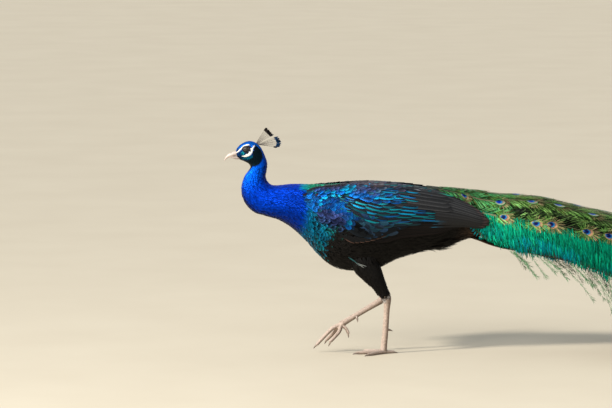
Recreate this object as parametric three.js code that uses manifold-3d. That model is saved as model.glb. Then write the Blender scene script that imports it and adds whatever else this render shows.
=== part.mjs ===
// A walking Indian peacock of the black-shouldered form, life size, as a still display model.
//
// Millimetres, +Z up. The bird faces -X and its left side is towards -Y. The origin is on the
// floor, under the ball of the left foot, which carries the bird; the middle plane is y = 0.
// The body is one lofted form, parted by thin cuts into head, neck, breast, belly and rump. The
// wings, thighs, shanks, toes, bill, eyes, crest, tail and train are lofts of their own, and each
// is let into its neighbour with a small clearance.

import * as THREE from "three";
import { mergeVertices } from "three/addons/utils/BufferGeometryUtils.js";
import Module from "manifold-3d";

const wasm = await Module();
wasm.setup();

// ---------------------------------------------------------------- driving dimensions

const CLEARANCE = 0.35; // between any two neighbouring pieces
const LEFT = -1; // sign of y on the bird's left side
const RIGHT = 1;

const BODY_SEGMENTS = 16; // points round the body
const EYE_RADIUS = 7.5;
const EYE_AT = new THREE.Vector3(-359.3, 11, 536.5); // for the right eye
const TARSUS_RADIUS = 7.6;
const TOE_RADIUS = 5.2;
const CLAW_LENGTH = 14;
const CLAW_DROP = 2.5; // how far a claw's tip curves down
const WING_THICKNESS = 15; // folded wing, over the body's side
const WING_SEAT = 2; // how deep the wing is let into the body

// The bare form from the bill's root to the rump. Each station gives its upper and lower point in
// the middle plane [x, z], half its width, and how much wider it is above (+) or below (-) its middle.
const BODY = {
  bill_root: { top: [-386, 530], bottom: [-381, 513], half: 7.5, egg: 0 },
  forehead: { top: [-379.5, 542], bottom: [-374.5, 509], half: 11.5, egg: 0 },
  brow: { top: [-366.5, 552], bottom: [-362.5, 504], half: 15, egg: -0.06 },
  crown: { top: [-351, 557], bottom: [-352, 498.5], half: 17.5, egg: -0.08 },
  occiput: { top: [-335, 553.5], bottom: [-347, 490.5], half: 18, egg: -0.04 },
  nape: { top: [-321, 541.5], bottom: [-349, 484], half: 18, egg: 0 },
  throat: { top: [-310.5, 521], bottom: [-354, 477.5], half: 18.5, egg: 0 },
  neck_top: { top: [-303.5, 498.5], bottom: [-362, 466], half: 20.5, egg: 0 },
  neck_upper: { top: [-305, 479], bottom: [-368, 450], half: 23, egg: 0 },
  neck_front: { top: [-307.5, 465], bottom: [-371, 432], half: 26, egg: 0 },
  neck_bend: { top: [-303, 452.5], bottom: [-368.5, 411], half: 29, egg: 0 },
  neck_back: { top: [-293.5, 443.5], bottom: [-357.5, 390], half: 32, egg: 0 },
  neck_low: { top: [-280, 441.5], bottom: [-336.5, 371], half: 35, egg: 0 },
  neck_base: { top: [-262, 443], bottom: [-307, 361.5], half: 39, egg: 0 },
  collar: { top: [-239, 445], bottom: [-273, 351], half: 46, egg: 0.03 },
  shoulder: { top: [-213, 445], bottom: [-239, 330], half: 55, egg: 0.05 },
  breast: { top: [-182, 444], bottom: [-203, 297], half: 65, egg: 0.06 },
  chest: { top: [-146, 444.5], bottom: [-169, 258], half: 74, egg: 0.07 },
  keel: { top: [-104, 447], bottom: [-127, 228], half: 80, egg: 0.08 },
  middle: { top: [-57, 449], bottom: [-75, 219], half: 83, egg: 0.1 },
  belly: { top: [-5, 447.5], bottom: [-18, 225.5], half: 82, egg: 0.12 },
  flank: { top: [47, 444], bottom: [39, 253], half: 76, egg: 0.12 },
  vent: { top: [99, 437.5], bottom: [99, 271], half: 67, egg: 0.1 },
  hip: { top: [151, 428], bottom: [156, 284], half: 58, egg: 0.05 },
  rump: { top: [203, 412], bottom: [208, 301], half: 49, egg: 0 },
  tail_root: { top: [250, 390], bottom: [250, 309], half: 38, egg: 0 },
  tail_stump: { top: [276, 372], bottom: [276, 320], half: 24, egg: 0 },
};
const STATIONS = Object.keys(BODY);

// ---------------------------------------------------------------- solids from rings

// A closed mesh through a row of rings of equal length, with a fan over each end. The rings run
// the same way round, and the sense is put right at the end.
function loft(rings) {
  const count = rings[0].length;
  const positions = rings.flat();
  const faces = [];
  for (let r = 0; r + 1 < rings.length; r++) {
    for (let i = 0; i < count; i++) {
      const a = r * count + i;
      const b = r * count + ((i + 1) % count);
      faces.push([a, b, b + count], [a, b + count, a + count]);
    }
  }
  const centres = [rings[0], rings[rings.length - 1]].map((ring) =>
    ring.reduce((sum, p) => sum.add(p), new THREE.Vector3()).divideScalar(count),
  );
  const last = (rings.length - 1) * count;
  positions.push(...centres);
  for (let i = 0; i < count; i++) {
    const next = (i + 1) % count;
    faces.push([positions.length - 2, next, i]);
    faces.push([positions.length - 1, last + i, last + next]);
  }
  const geometry = new THREE.BufferGeometry().setFromPoints(positions);
  geometry.setIndex(faces.flat());
  return solidOf(geometry);
}

// A manifold-3d solid of a closed geometry, with its faces pointing out.
function solidOf(geometry) {
  geometry.deleteAttribute("normal");
  geometry.deleteAttribute("uv");
  const merged = mergeVertices(geometry, 1e-3);
  const vertProperties = merged.attributes.position.array;
  const make = (index) =>
    new wasm.Manifold(new wasm.Mesh({ numProp: 3, vertProperties, triVerts: new Uint32Array(index) }));
  const solid = make(merged.index.array);
  return solid.volume() > 0 ? solid : make(Array.from(merged.index.array).reverse());
}

function geometryOf(solid) {
  const { vertProperties, triVerts } = solid.getMesh();
  return new THREE.BufferGeometry()
    .setAttribute("position", new THREE.BufferAttribute(vertProperties, 3))
    .setIndex(new THREE.BufferAttribute(triVerts, 1));
}

// A smooth curve through points given as [x, y, z], and a smooth function through plain numbers.
const curveOf = (points) =>
  new THREE.CatmullRomCurve3(points.map((p) => new THREE.Vector3(...p)), false, "centripetal");
const smooth = (values) => {
  const curve = new THREE.CatmullRomCurve3(values.map((v, i) => new THREE.Vector3(i, v, 0)));
  return (share) => curve.getPoint(THREE.MathUtils.clamp(share, 0, 1)).y;
};

// A limb: an ellipse of half-depth a and half-width b carried along a path. Each stop is
// [x, y, z, a, b]; `flatSide` is the direction in which the half-width is measured.
function limb(stops, { segments = 10, grow = 0, flatSide = [0, 1, 0] } = {}) {
  const path = curveOf(stops.map((s) => s.slice(0, 3)));
  const depth = smooth(stops.map((s) => s[3]));
  const width = smooth(stops.map((s) => s[4]));
  const count = stops.length - 1;
  const rings = [];
  for (let i = 0; i <= count; i++) {
    const share = i / count;
    const along = path.getTangent(share);
    const centre = path.getPoint(share);
    if (i === 0) centre.addScaledVector(along, -grow);
    if (i === count) centre.addScaledVector(along, grow);
    const up = new THREE.Vector3(...flatSide).cross(along).normalize();
    const across = new THREE.Vector3().crossVectors(along, up);
    rings.push(
      ellipse(segments).map(([c, s]) =>
        centre.clone()
          .addScaledVector(up, (depth(share) + grow) * c)
          .addScaledVector(across, (width(share) + grow) * s),
      ),
    );
  }
  return loft(rings);
}

// [cos, sin] of equal steps round a circle.
const ellipse = (segments) =>
  Array.from({ length: segments }, (_, i) => {
    const angle = (2 * Math.PI * i) / segments;
    return [Math.cos(angle), Math.sin(angle)];
  });

// A flat-sided form given by its upper and lower line in the middle plane and its half-widths.
// Each stop is [top x, top z, bottom x, bottom z, half-width].
function blade(stops, grow = 0, segments = 10) {
  const top = curveOf(stops.map((s) => [s[0], 0, s[1]]));
  const bottom = curveOf(stops.map((s) => [s[2], 0, s[3]]));
  const width = smooth(stops.map((s) => s[4]));
  const rings = [];
  const count = stops.length - 1;
  for (let i = 0; i <= count; i++) {
    const share = i / count;
    const high = top.getPoint(share);
    const low = bottom.getPoint(share);
    const centre = high.clone().add(low).divideScalar(2);
    const half = high.clone().sub(centre);
    half.setLength(half.length() + grow);
    rings.push(
      ellipse(segments).map(([c, s]) =>
        centre.clone().addScaledVector(half, c).add(new THREE.Vector3(0, (width(share) + grow) * s, 0)),
      ),
    );
  }
  return loft(rings);
}

// ---------------------------------------------------------------- the body's form

const bodyTop = curveOf(STATIONS.map((n) => [BODY[n].top[0], 0, BODY[n].top[1]]));
const bodyBottom = curveOf(STATIONS.map((n) => [BODY[n].bottom[0], 0, BODY[n].bottom[1]]));
const bodyHalf = smooth(STATIONS.map((n) => BODY[n].half));
const bodyEgg = smooth(STATIONS.map((n) => BODY[n].egg));

// Where a station is along the body, with `extra` stations added, as a share from 0 to 1.
const along = (name, extra = 0) => (STATIONS.indexOf(name) + extra) / (STATIONS.length - 1);

// The cross-section at a share of the body's length: its centre, its half-height as a vector, and
// its half-width at an angle from the back line.
function section(share) {
  const high = bodyTop.getPoint(share);
  const low = bodyBottom.getPoint(share);
  return {
    centre: high.clone().add(low).divideScalar(2),
    half: high.clone().sub(low).divideScalar(2),
    widthAt: (cosine) => bodyHalf(share) * (1 + bodyEgg(share) * cosine),
  };
}

// A point on the body's skin, `angle` degrees down from the back line, pushed outwards by `out`.
function onBody(share, angle, side, out = 0) {
  const { centre, half, widthAt } = section(share);
  const cosine = Math.cos(THREE.MathUtils.degToRad(angle));
  const sine = Math.sin(THREE.MathUtils.degToRad(angle));
  return centre.clone()
    .addScaledVector(half, (cosine * (half.length() + out)) / half.length())
    .add(new THREE.Vector3(0, side * (widthAt(cosine) + out) * sine, 0));
}

function bodyForm() {
  const rings = STATIONS.map((name) =>
    Array.from({ length: BODY_SEGMENTS }, (_, k) => onBody(along(name), (360 * k) / BODY_SEGMENTS, RIGHT)),
  );
  return loft(rings);
}

// The plane of a body station, as a normal that points towards the tail and its offset.
function stationPlane(name, extra = 0) {
  const share = along(name, extra);
  const { centre, half } = section(share);
  const onward = section(share + 0.01).centre.sub(section(share - 0.01).centre);
  const normal = new THREE.Vector3(0, 1, 0).cross(half).normalize();
  if (normal.dot(onward) < 0) normal.negate();
  return { normal: normal.toArray(), offset: normal.dot(centre) };
}

// Parts a solid at a plane, with the clearance between the two halves: [beyond, before].
function parted(solid, { normal, offset }) {
  const beyond = solid.trimByPlane(normal, offset + CLEARANCE / 2);
  const before = solid.trimByPlane(normal.map((n) => -n), -offset + CLEARANCE / 2);
  return [beyond, before];
}

// ---------------------------------------------------------------- wings

// The folded wing is a shell over the body's side. Each stop is a body station with the angles of
// the wing's upper and lower edge, in degrees down from the back line, and its thickness there.
const WING = [
  { at: ["shoulder", 0.25], upper: 50, lower: 58, thick: 0.3 },
  { at: ["shoulder", 0.6], upper: 36, lower: 69, thick: 0.7 },
  { at: ["breast", 0.1], upper: 26, lower: 76, thick: 0.95 },
  { at: ["chest", 0], upper: 18, lower: 80, thick: 1 },
  { at: ["keel", 0], upper: 14, lower: 84, thick: 1 },
  { at: ["middle", 0], upper: 13, lower: 95, thick: 1 },
  { at: ["belly", 0], upper: 14, lower: 103, thick: 0.95 },
  { at: ["flank", 0], upper: 16, lower: 106, thick: 0.9 },
  { at: ["hip", 0], upper: 24, lower: 111, thick: 0.95 },
  { at: ["rump", 0], upper: 34, lower: 113, thick: 1.1 },
  { at: ["tail_root", 0], upper: 46, lower: 112, thick: 1.6 },
  { at: ["tail_root", 0.75], upper: 60, lower: 104, thick: 1.9 },
];
const WING_ARC = 6; // points along the outer and the inner arc of a wing's section

function wingForm(side, grow = 0) {
  const share = smooth(WING.map((s) => along(...s.at)));
  const upper = smooth(WING.map((s) => s.upper));
  const lower = smooth(WING.map((s) => s.lower));
  const thick = smooth(WING.map((s) => s.thick * WING_THICKNESS));
  const count = WING.length - 1;
  const rings = [];
  for (let i = 0; i <= count; i++) {
    const at = i / count;
    const end = i === 0 ? -1 : i === count ? 1 : 0;
    const growAngle = THREE.MathUtils.radToDeg(grow / section(share(at)).half.length());
    const arc = (inner) =>
      Array.from({ length: WING_ARC }, (_, k) => {
        const across = inner ? 1 - k / (WING_ARC - 1) : k / (WING_ARC - 1);
        const angle = THREE.MathUtils.lerp(upper(at) - growAngle, lower(at) + growAngle, across);
        const swell = 0.25 + 0.75 * Math.sin(Math.PI * (0.08 + 0.84 * across)) ** 0.6;
        const outer = thick(at) * swell;
        const seat = Math.max(outer - WING_THICKNESS - 1, -WING_SEAT);
        const out = inner ? seat - 3 * grow : outer + grow; // more room inside, out of sight
        const point = onBody(share(at), angle, side, out);
        point.x += end * grow;
        return point;
      });
    rings.push([...arc(false), ...arc(true)]);
  }
  return loft(rings);
}

// Planes that part the folded wing into coverts, secondaries and primaries, going back and down.
const WING_CUTS = {
  coverts: { normal: [0.86, 0, -0.5], through: [-10, 0, 350] },
  primaries: { normal: [0.5, 0, -0.86], through: [95, 0, 350] },
};
const planeOf = ({ normal, through }) => {
  const unit = new THREE.Vector3(...normal).normalize();
  return { normal: unit.toArray(), offset: unit.dot(new THREE.Vector3(...through)) };
};

// ---------------------------------------------------------------- head

// Closed bill: [culmen x, z, cutting edge x, z, half-width], from inside the head to the tip.
const BILL_UPPER = [
  [-376, 534, -374, 519, 8],
  [-386, 531, -384, 518.4, 7.2],
  [-397.5, 527, -395, 515.9, 5.4],
  [-406.8, 521.4, -404, 513.4, 3.8],
  [-412.6, 514.6, -409.4, 509.8, 2.3],
  [-415, 508, -413.4, 505.6, 1],
  [-415.3, 505.2, -414.6, 504.6, 0.5],
];
const BILL_LOWER = [
  [-374, 517.6, -373, 509, 6.8],
  [-384, 517.2, -381, 509.4, 6.2],
  [-394, 514.9, -392.5, 509.6, 4.7],
  [-402, 512.5, -401.4, 509.4, 3.1],
  [-407.6, 510.3, -407.2, 509, 1.3],
];

function eyeForm(side, grow = 0) {
  const ball = new THREE.SphereGeometry(EYE_RADIUS + grow, 10, 6);
  ball.translate(EYE_AT.x, side * EYE_AT.y, EYE_AT.z);
  return solidOf(ball);
}

// The crest: bare shafts that fan backwards from the crown in the middle plane, each with a small
// webbed tip. Most tips gather at the two ends of the fan. Angles are above the backward horizontal.
const CREST_ROOT = [-329, 0, 551.5];
const CREST_MOUND = [
  [-342, 0, 548.5, 4.5, 4],
  [-331, 0, 549.5, 5.5, 5],
  [-322, 0, 544.5, 4, 3.5],
];
const CREST_GROUPS = [
  { count: 5, from: -8, to: 17, length: 57 },
  { count: 5, from: 34, to: 62, length: 47 },
];
const CREST_LEAN = 4; // sideways spread at the tips

const crestMound = (grow = 0) => limb(CREST_MOUND, { segments: 6, grow });

function crestForm() {
  const feathers = CREST_GROUPS.flatMap(({ count, from, to, length }) =>
    Array.from({ length: count }, (_, i) => {
      const angle = THREE.MathUtils.degToRad(THREE.MathUtils.lerp(from, to, i / (count - 1)));
      const lean = CREST_LEAN * Math.sin(i * 2.4);
      const at = (run) => [
        CREST_ROOT[0] + run * length * Math.cos(angle),
        lean * run,
        CREST_ROOT[2] + run * length * Math.sin(angle),
      ];
      const stops = [
        [...at(0), 0.9, 0.9],
        [...at(0.72), 0.5, 0.5],
        [...at(0.87), 3.6, 0.7],
        [...at(1), 0.6, 0.4],
      ];
      return limb(stops, { segments: 4 });
    }),
  );
  return feathers.reduce((crest, feather) => crest.add(feather), crestMound());
}

// ---------------------------------------------------------------- legs

// Each leg from the belly down: thigh feathers, then the bare shank. Stops are
// [x, y, z, half-depth, half-width], with y positive away from the middle plane.
const THIGH_LEFT = [
  [-54, 36, 272, 42, 26],
  [-49, 36, 244, 37, 25],
  [-31, 32, 212, 26.5, 20],
  [-15, 25, 187, 18.5, 16],
  [-3, 18.5, 166, 13.5, 12],
  [4, 15, 153, 11.5, 9.5],
];
const SHANK_LEFT = [
  [3, 15, 160, 8, 7],
  [7.5, 14, 149, 11.3, 9],
  [8.5, 12.5, 136, 9.6, 7.5],
  [7.5, 9.5, 113, TARSUS_RADIUS, 5.8],
  [5, 5.5, 70, TARSUS_RADIUS, 5.6],
  [1.5, 1.5, 28, 8, 6.6],
  [0, 0, 11, 8.6, 8.6],
  [-0.5, 0, 1.2, 6.8, 7.2],
];
const THIGH_RIGHT = [
  [-50, 36, 268, 38, 26],
  [-46, 37, 242, 33, 24],
  [-33, 37, 212, 24, 20],
  [-20, 36, 187, 17.5, 15],
  [-8, 34, 164, 13.5, 12],
  [-1, 33, 149, 10.5, 9],
];
const SHANK_RIGHT = [
  [2, 33.5, 153, 7, 6.5],
  [2, 33, 143, 9.4, 8.2],
  [-8, 32, 135, 8.8, 7],
  [-32, 28, 121, TARSUS_RADIUS, 5.8],
  [-66, 22, 101.5, TARSUS_RADIUS - 0.8, 5.6],
  [-96, 17, 84, TARSUS_RADIUS, 6.6],
  [-108, 15, 77, 8.4, 8.4],
  [-113, 14.5, 73.5, 6.8, 7.4],
];

// Each toe: its joints as offsets from the one before, starting at the foot's root, and the way the
// claw points. The inner toe lies towards the middle plane, the outer one away from it.
const FOOT_LEFT = {
  root: [4, 0.6, 5],
  toes: {
    middle: { steps: [[-31, -5, -0.4], [-23, -5, -0.5], [-18, -4, -0.4]], claw: [-12, -2.5, -0.6] },
    outer: { steps: [[-19, -17, -0.4], [-14, -15, -0.5], [-11, -11, -0.4]], claw: [-9, -7.5, -0.6] },
    inner: { steps: [[-22, 10, -0.4], [-17, 8, -0.5], [-12, 5, -0.4]], claw: [-10.5, 3, -0.6] },
    hind: { steps: [[11, 4, -0.9], [9, 3, -0.5]], claw: [12, 2, -0.4] },
  },
};
const FOOT_RIGHT = {
  root: [-111, 14.5, 75],
  toes: {
    middle: { steps: [[-23, 0.5, -11], [-21, 0, -21], [-19, 0, -21]], claw: [-12, 0, -11] },
    outer: { steps: [[-12, 9, -16], [-14, 9, -15.5], [-11, 7, -12]], claw: [-7, 3, -11] },
    inner: { steps: [[-5, -10, -17], [-12.5, -8, -14], [-10, -4, -11]], claw: [-6.5, -1, -12.5] },
    hind: { steps: [[13, -4, -11], [5, -2, -10]], claw: [2, -1, -12.5] },
  },
};
const HIND_THINNER = 0.82; // of the front toes' thickness

const thinness = (toe) => (toe === "hind" ? HIND_THINNER : 1);

function toeStops(foot, toe) {
  const at = new THREE.Vector3(...foot.root);
  const thickest = TOE_RADIUS * thinness(toe);
  const stops = [[...at.toArray(), thickest * 1.08, thickest * 1.1]];
  foot.toes[toe].steps.forEach((step, i) => {
    at.add(new THREE.Vector3(...step));
    const radius = thickest * (1 - 0.1 * i);
    stops.push([...at.toArray(), radius, radius * 0.98]);
  });
  return stops;
}

// A claw starts inside the toe's end, goes on in its own direction and curves down.
function clawStops(foot, toe) {
  const start = new THREE.Vector3(...toeStops(foot, toe).at(-1).slice(0, 3));
  const way = new THREE.Vector3(...foot.toes[toe].claw).normalize();
  const down = new THREE.Vector3(0, 0, -1).addScaledVector(way, way.z);
  return [-0.28, 0.05, 0.4, 0.75, 1].map((run) => {
    const point = start.clone().addScaledVector(way, run * CLAW_LENGTH);
    point.addScaledVector(down, run * run * CLAW_DROP);
    const radius = thinness(toe) * (3.4 * (1 - Math.max(run, 0)) ** 0.8 + 0.45);
    return [...point.toArray(), radius, radius * 0.8];
  });
}

// A spur: a short horn on the shank's inner back edge.
const SPURS = {
  left: [[5, 3, 64, 3.8, 3.4], [15, 6, 61.5, 3, 2.8], [24, 8, 58.5, 0.6, 0.6]],
  right: [[-72, 19, 98, 3.8, 3.4], [-69, 14, 90, 3, 2.8], [-68, 10.5, 81, 0.6, 0.6]],
};

// Everything below the floor is cut off, which leaves the small flats that the foot rests on.
const onFloor = (solid) => solid.trimByPlane([0, 0, 1], 0);
const mirrored = (stops, side) => stops.map(([x, y, z, a, b]) => [x, side * y, z, a, b]);

// ---------------------------------------------------------------- tail and train

// The true tail: a shallow plate of stiff feathers under the train.
// [x, z of its upper side, thickness, half-width]
const TAIL = [
  [232, 314, 14, 22],
  [262, 301, 10, 36],
  [302, 291, 8, 52],
  [358, 283, 7, 62],
  [440, 269, 6, 68],
  [520, 254, 5, 70],
  [585, 241, 4, 58],
  [606, 237, 3, 34],
];
const TAIL_ARCH = 6; // how much lower its edges lie than its middle

function tailForm(grow = 0) {
  const line = curveOf(TAIL.map(([x, z]) => [x, 0, z]));
  const thick = smooth(TAIL.map((s) => s[2]));
  const half = smooth(TAIL.map((s) => s[3]));
  const count = TAIL.length - 1;
  const rings = [];
  for (let i = 0; i <= count; i++) {
    const share = i / count;
    const mid = line.getPoint(share);
    const end = i === 0 ? -grow : i === count ? grow : 0;
    rings.push(
      ellipse(10).map(([c, s]) => {
        const y = (half(share) + grow) * s;
        const sag = TAIL_ARCH * (s * s) * Math.min(1, share * 3);
        const middle = mid.z - thick(share) / 2 - sag;
        return new THREE.Vector3(mid.x + end, y, middle + (thick(share) / 2 + grow) * c);
      }),
    );
  }
  return loft(rings);
}

// The train: the long upper tail coverts, closed, as an arch over the tail that sinks to the floor.
// [x, z along its ridge, z of its lower edge, half-width, thickness at the ridge]
const TRAIN = [
  [104, 442, 428, 22, 8],
  [158, 440, 414, 40, 14],
  [203, 434, 384, 48, 18],
  [228, 430, 334, 51, 20],
  [250, 427, 303, 54, 22],
  [302, 421, 287, 68, 24],
  [354, 417, 275, 83, 26],
  [406, 411, 263, 96, 28],
  [460, 399, 252, 107, 28],
  [520, 384, 236, 118, 28],
  [593, 368, 206, 129, 28],
  [692, 341, 160, 144, 28],
  [822, 299, 98, 160, 27],
  [952, 251, 47, 173, 26],
  [1082, 199, 13, 182, 24],
  [1212, 147, 0, 187, 22],
  [1342, 96, 0, 185, 20],
  [1446, 58, 0, 168, 17],
  [1524, 31, 0, 128, 13],
  [1566, 14, 0, 72, 9],
  [1580, 8, 0, 30, 6],
];
const TRAIN_EDGE = 0.4; // thickness of the train's lower edge, as a share of the ridge's
const TRAIN_ARC = 8; // points along the outer and the inner arc

function trainForm(grow = 0) {
  const [x, ridge, edge, half, thick] = [0, 1, 2, 3, 4].map((k) => smooth(TRAIN.map((s) => s[k])));
  const count = TRAIN.length - 1;
  const rings = [];
  for (let i = 0; i <= count; i++) {
    const share = i / count;
    const low = Math.max(edge(share), 0);
    const rise = ridge(share) - low;
    const end = i === 0 ? -grow : i === count ? grow : 0;
    const arc = (inner) =>
      Array.from({ length: TRAIN_ARC }, (_, k) => {
        const way = (inner ? -1 : 1) * ((2 * k) / (TRAIN_ARC - 1) - 1);
        const angle = (way * Math.PI) / 2;
        const wall = thick(share) * THREE.MathUtils.lerp(1, TRAIN_EDGE, Math.abs(way));
        const inset = inner ? Math.min(wall, rise * 0.8) + grow : -grow;
        const y = Math.max(half(share) - (inner ? wall : 0) - (inner ? grow : -grow), 2) * Math.sin(angle);
        const z = low + Math.max(rise - inset, 1) * Math.cos(angle);
        return new THREE.Vector3(x(share) + end, y, z);
      });
    rings.push([...arc(false), ...arc(true)]);
  }
  return onFloor(loft(rings));
}

// The lengths that the train is parted into, and the lines [x, y] that part each length's top from
// its right side; the left side is the same.
const TRAIN_LENGTHS = {
  base: { to: 560, line: [[104, 16], [560, 78]] },
  middle: { to: 1060, line: [[560, 78], [1060, 112]] },
  end: { to: 1600, line: [[1060, 112], [1600, 112]] },
};

// ---------------------------------------------------------------- the parts, fitted together

const COLOURS = {
  blue: { color: 0x0b3fbf, roughness: 0.4, metalness: 0.4 },
  teal: { color: 0x0a6c74, roughness: 0.45, metalness: 0.35 },
  black: { color: 0x14110f, roughness: 0.8, metalness: 0 },
  wing: { color: 0x18303e, roughness: 0.5, metalness: 0.3 },
  quill: { color: 0x2a2623, roughness: 0.7, metalness: 0 },
  bronze: { color: 0x5b7a2c, roughness: 0.5, metalness: 0.4 },
  emerald: { color: 0x0a8a68, roughness: 0.5, metalness: 0.3 },
  horn: { color: 0xcbb9ae, roughness: 0.5, metalness: 0 },
  leg: { color: 0xbda693, roughness: 0.7, metalness: 0 },
  eye: { color: 0x1a100c, roughness: 0.1, metalness: 0 },
};
const materials = Object.fromEntries(
  Object.entries(COLOURS).map(([name, look]) => [name, new THREE.MeshStandardMaterial(look)]),
);

const peacock = new THREE.Group();
peacock.name = "peacock";

function addPart(name, solid, look) {
  const mesh = new THREE.Mesh(geometryOf(solid), materials[look]);
  mesh.name = name;
  peacock.add(mesh);
}

const without = (solid, ...others) => others.reduce((rest, other) => rest.subtract(other), solid);
const SIDES = { left: LEFT, right: RIGHT };
const sideNames = Object.keys(SIDES);

// Tail, train and wings: the wings lie outermost, then the train, then the tail and the body.
const grownWings = sideNames.map((side) => wingForm(SIDES[side], CLEARANCE));
const train = without(trainForm(), ...grownWings);
const tail = without(tailForm(), trainForm(CLEARANCE), ...grownWings);

// The body with its hollows for all that is let into it.
const thighs = { left: THIGH_LEFT, right: THIGH_RIGHT };
const thighForm = (side, grow = 0) =>
  limb(mirrored(thighs[side], SIDES[side]), { segments: 10, grow });
const body = without(
  bodyForm(),
  ...grownWings,
  trainForm(CLEARANCE),
  tailForm(CLEARANCE),
  ...sideNames.map((side) => thighForm(side, CLEARANCE)),
  ...sideNames.map((side) => eyeForm(SIDES[side], CLEARANCE)),
  blade(BILL_UPPER, CLEARANCE),
  blade(BILL_LOWER, CLEARANCE),
  crestMound(CLEARANCE),
);
const largest = (solid) => solid.decompose().reduce((a, b) => (a.volume() > b.volume() ? a : b));

const [trunkAll, headAndNeck] = parted(body, stationPlane("shoulder", -0.25));
const [neckLow, headAndUpper] = parted(headAndNeck, stationPlane("neck_bend", 0.5));
const [neckHigh, head] = parted(headAndUpper, stationPlane("nape", 0.5));
const [hindAll, breast] = parted(trunkAll, stationPlane("keel", 0));
const [rump, belly] = parted(hindAll, stationPlane("vent", 0.5));
addPart("head", largest(head), "blue");
addPart("neck_upper", largest(neckHigh), "blue");
addPart("neck_lower", largest(neckLow), "blue");
addPart("breast", largest(breast), "teal");
addPart("belly_and_back", largest(belly), "black");
addPart("rump", largest(rump), "black");

// Bill, eyes and crest.
addPart("bill_upper", blade(BILL_UPPER), "horn");
addPart("bill_lower", without(blade(BILL_LOWER), blade(BILL_UPPER, CLEARANCE)), "horn");
sideNames.forEach((side) => addPart(`eye_${side}`, eyeForm(SIDES[side]), "eye"));
addPart("crest", crestForm(), "teal");

// Wings, each in three tracts.
for (const side of sideNames) {
  const [flight, coverts] = parted(wingForm(SIDES[side]), planeOf(WING_CUTS.coverts));
  const [primaries, secondaries] = parted(flight, planeOf(WING_CUTS.primaries));
  addPart(`wing_${side}_coverts`, largest(coverts), "wing");
  addPart(`wing_${side}_secondaries`, largest(secondaries), "wing");
  addPart(`wing_${side}_primaries`, largest(primaries), "quill");
}

// Legs: thigh, shank with its spur, and four toes with their claws.
const legs = {
  left: { shank: SHANK_LEFT, foot: FOOT_LEFT },
  right: { shank: SHANK_RIGHT, foot: FOOT_RIGHT },
};
for (const side of sideNames) {
  const { shank, foot } = legs[side];
  const shankForm = (grow) => limb(mirrored(shank, SIDES[side]), { segments: 8, grow });
  const spurForm = (grow) => limb(SPURS[side], { segments: 6, grow, flatSide: [0.3, 1, 0] });
  addPart(`thigh_${side}`, without(thighForm(side), shankForm(CLEARANCE)), "black");
  const toeNames = Object.keys(foot.toes);
  const toeForm = (toe, grow) => limb(toeStops(foot, toe), { segments: 6, grow });
  const clawForm = (toe, grow) => limb(clawStops(foot, toe), { segments: 5, grow });
  const grownToes = toeNames.map((toe) => toeForm(toe, CLEARANCE));
  const shankCut = without(shankForm(0), ...grownToes, spurForm(CLEARANCE));
  addPart(`shank_${side}`, largest(onFloor(shankCut)), "leg");
  addPart(`spur_${side}`, spurForm(0), "horn");
  toeNames.forEach((toe, i) => {
    const cut = without(toeForm(toe, 0), ...grownToes.slice(0, i), clawForm(toe, CLEARANCE));
    addPart(`toe_${side}_${toe}`, largest(onFloor(cut)), "leg");
    addPart(`claw_${side}_${toe}`, largest(onFloor(clawForm(toe, 0))), "horn");
  });
}

// Tail and train. The train is parted into lengths, and each length into a top and two sides.
addPart("tail", largest(tail), "quill");
let rest = train;
for (const [word, { to, line }] of Object.entries(TRAIN_LENGTHS)) {
  const [beyond, length] = parted(rest, { normal: [1, 0, 0], offset: to });
  const [[x0, y0], [x1, y1]] = line;
  const sidePlane = (side) =>
    planeOf({ normal: [y0 - y1, side * (x1 - x0), 0], through: [x0, side * y0, 0] });
  const [leftStrip, notLeft] = parted(length, sidePlane(LEFT));
  const [rightStrip, top] = parted(notLeft, sidePlane(RIGHT));
  addPart(`train_${word}_top`, largest(top), "bronze");
  addPart(`train_${word}_left`, largest(leftStrip), "emerald");
  addPart(`train_${word}_right`, largest(rightStrip), "emerald");
  rest = beyond;
}

export default peacock;
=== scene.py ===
import math

import bpy
import numpy as np
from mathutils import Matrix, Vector
from mathutils.bvhtree import BVHTree
from mathutils.kdtree import KDTree


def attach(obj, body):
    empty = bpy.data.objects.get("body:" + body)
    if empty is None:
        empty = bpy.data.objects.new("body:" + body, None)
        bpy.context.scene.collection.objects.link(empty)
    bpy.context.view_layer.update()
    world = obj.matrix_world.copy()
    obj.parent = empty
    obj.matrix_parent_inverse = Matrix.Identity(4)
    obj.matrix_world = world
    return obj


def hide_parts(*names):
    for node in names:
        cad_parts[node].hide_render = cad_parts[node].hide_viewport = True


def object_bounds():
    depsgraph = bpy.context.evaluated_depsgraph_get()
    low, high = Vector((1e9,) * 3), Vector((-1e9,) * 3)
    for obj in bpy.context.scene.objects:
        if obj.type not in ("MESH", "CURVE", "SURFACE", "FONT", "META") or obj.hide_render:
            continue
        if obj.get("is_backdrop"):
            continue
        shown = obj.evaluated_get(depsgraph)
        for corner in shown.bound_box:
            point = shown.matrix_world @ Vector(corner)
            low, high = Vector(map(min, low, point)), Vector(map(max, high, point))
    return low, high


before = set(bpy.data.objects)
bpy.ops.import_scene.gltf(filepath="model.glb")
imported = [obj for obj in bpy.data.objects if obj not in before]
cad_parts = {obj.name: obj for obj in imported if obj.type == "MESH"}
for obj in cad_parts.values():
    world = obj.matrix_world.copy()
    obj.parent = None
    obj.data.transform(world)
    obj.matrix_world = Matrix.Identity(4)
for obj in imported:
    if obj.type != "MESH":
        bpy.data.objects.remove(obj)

cad_low, cad_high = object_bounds()

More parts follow.
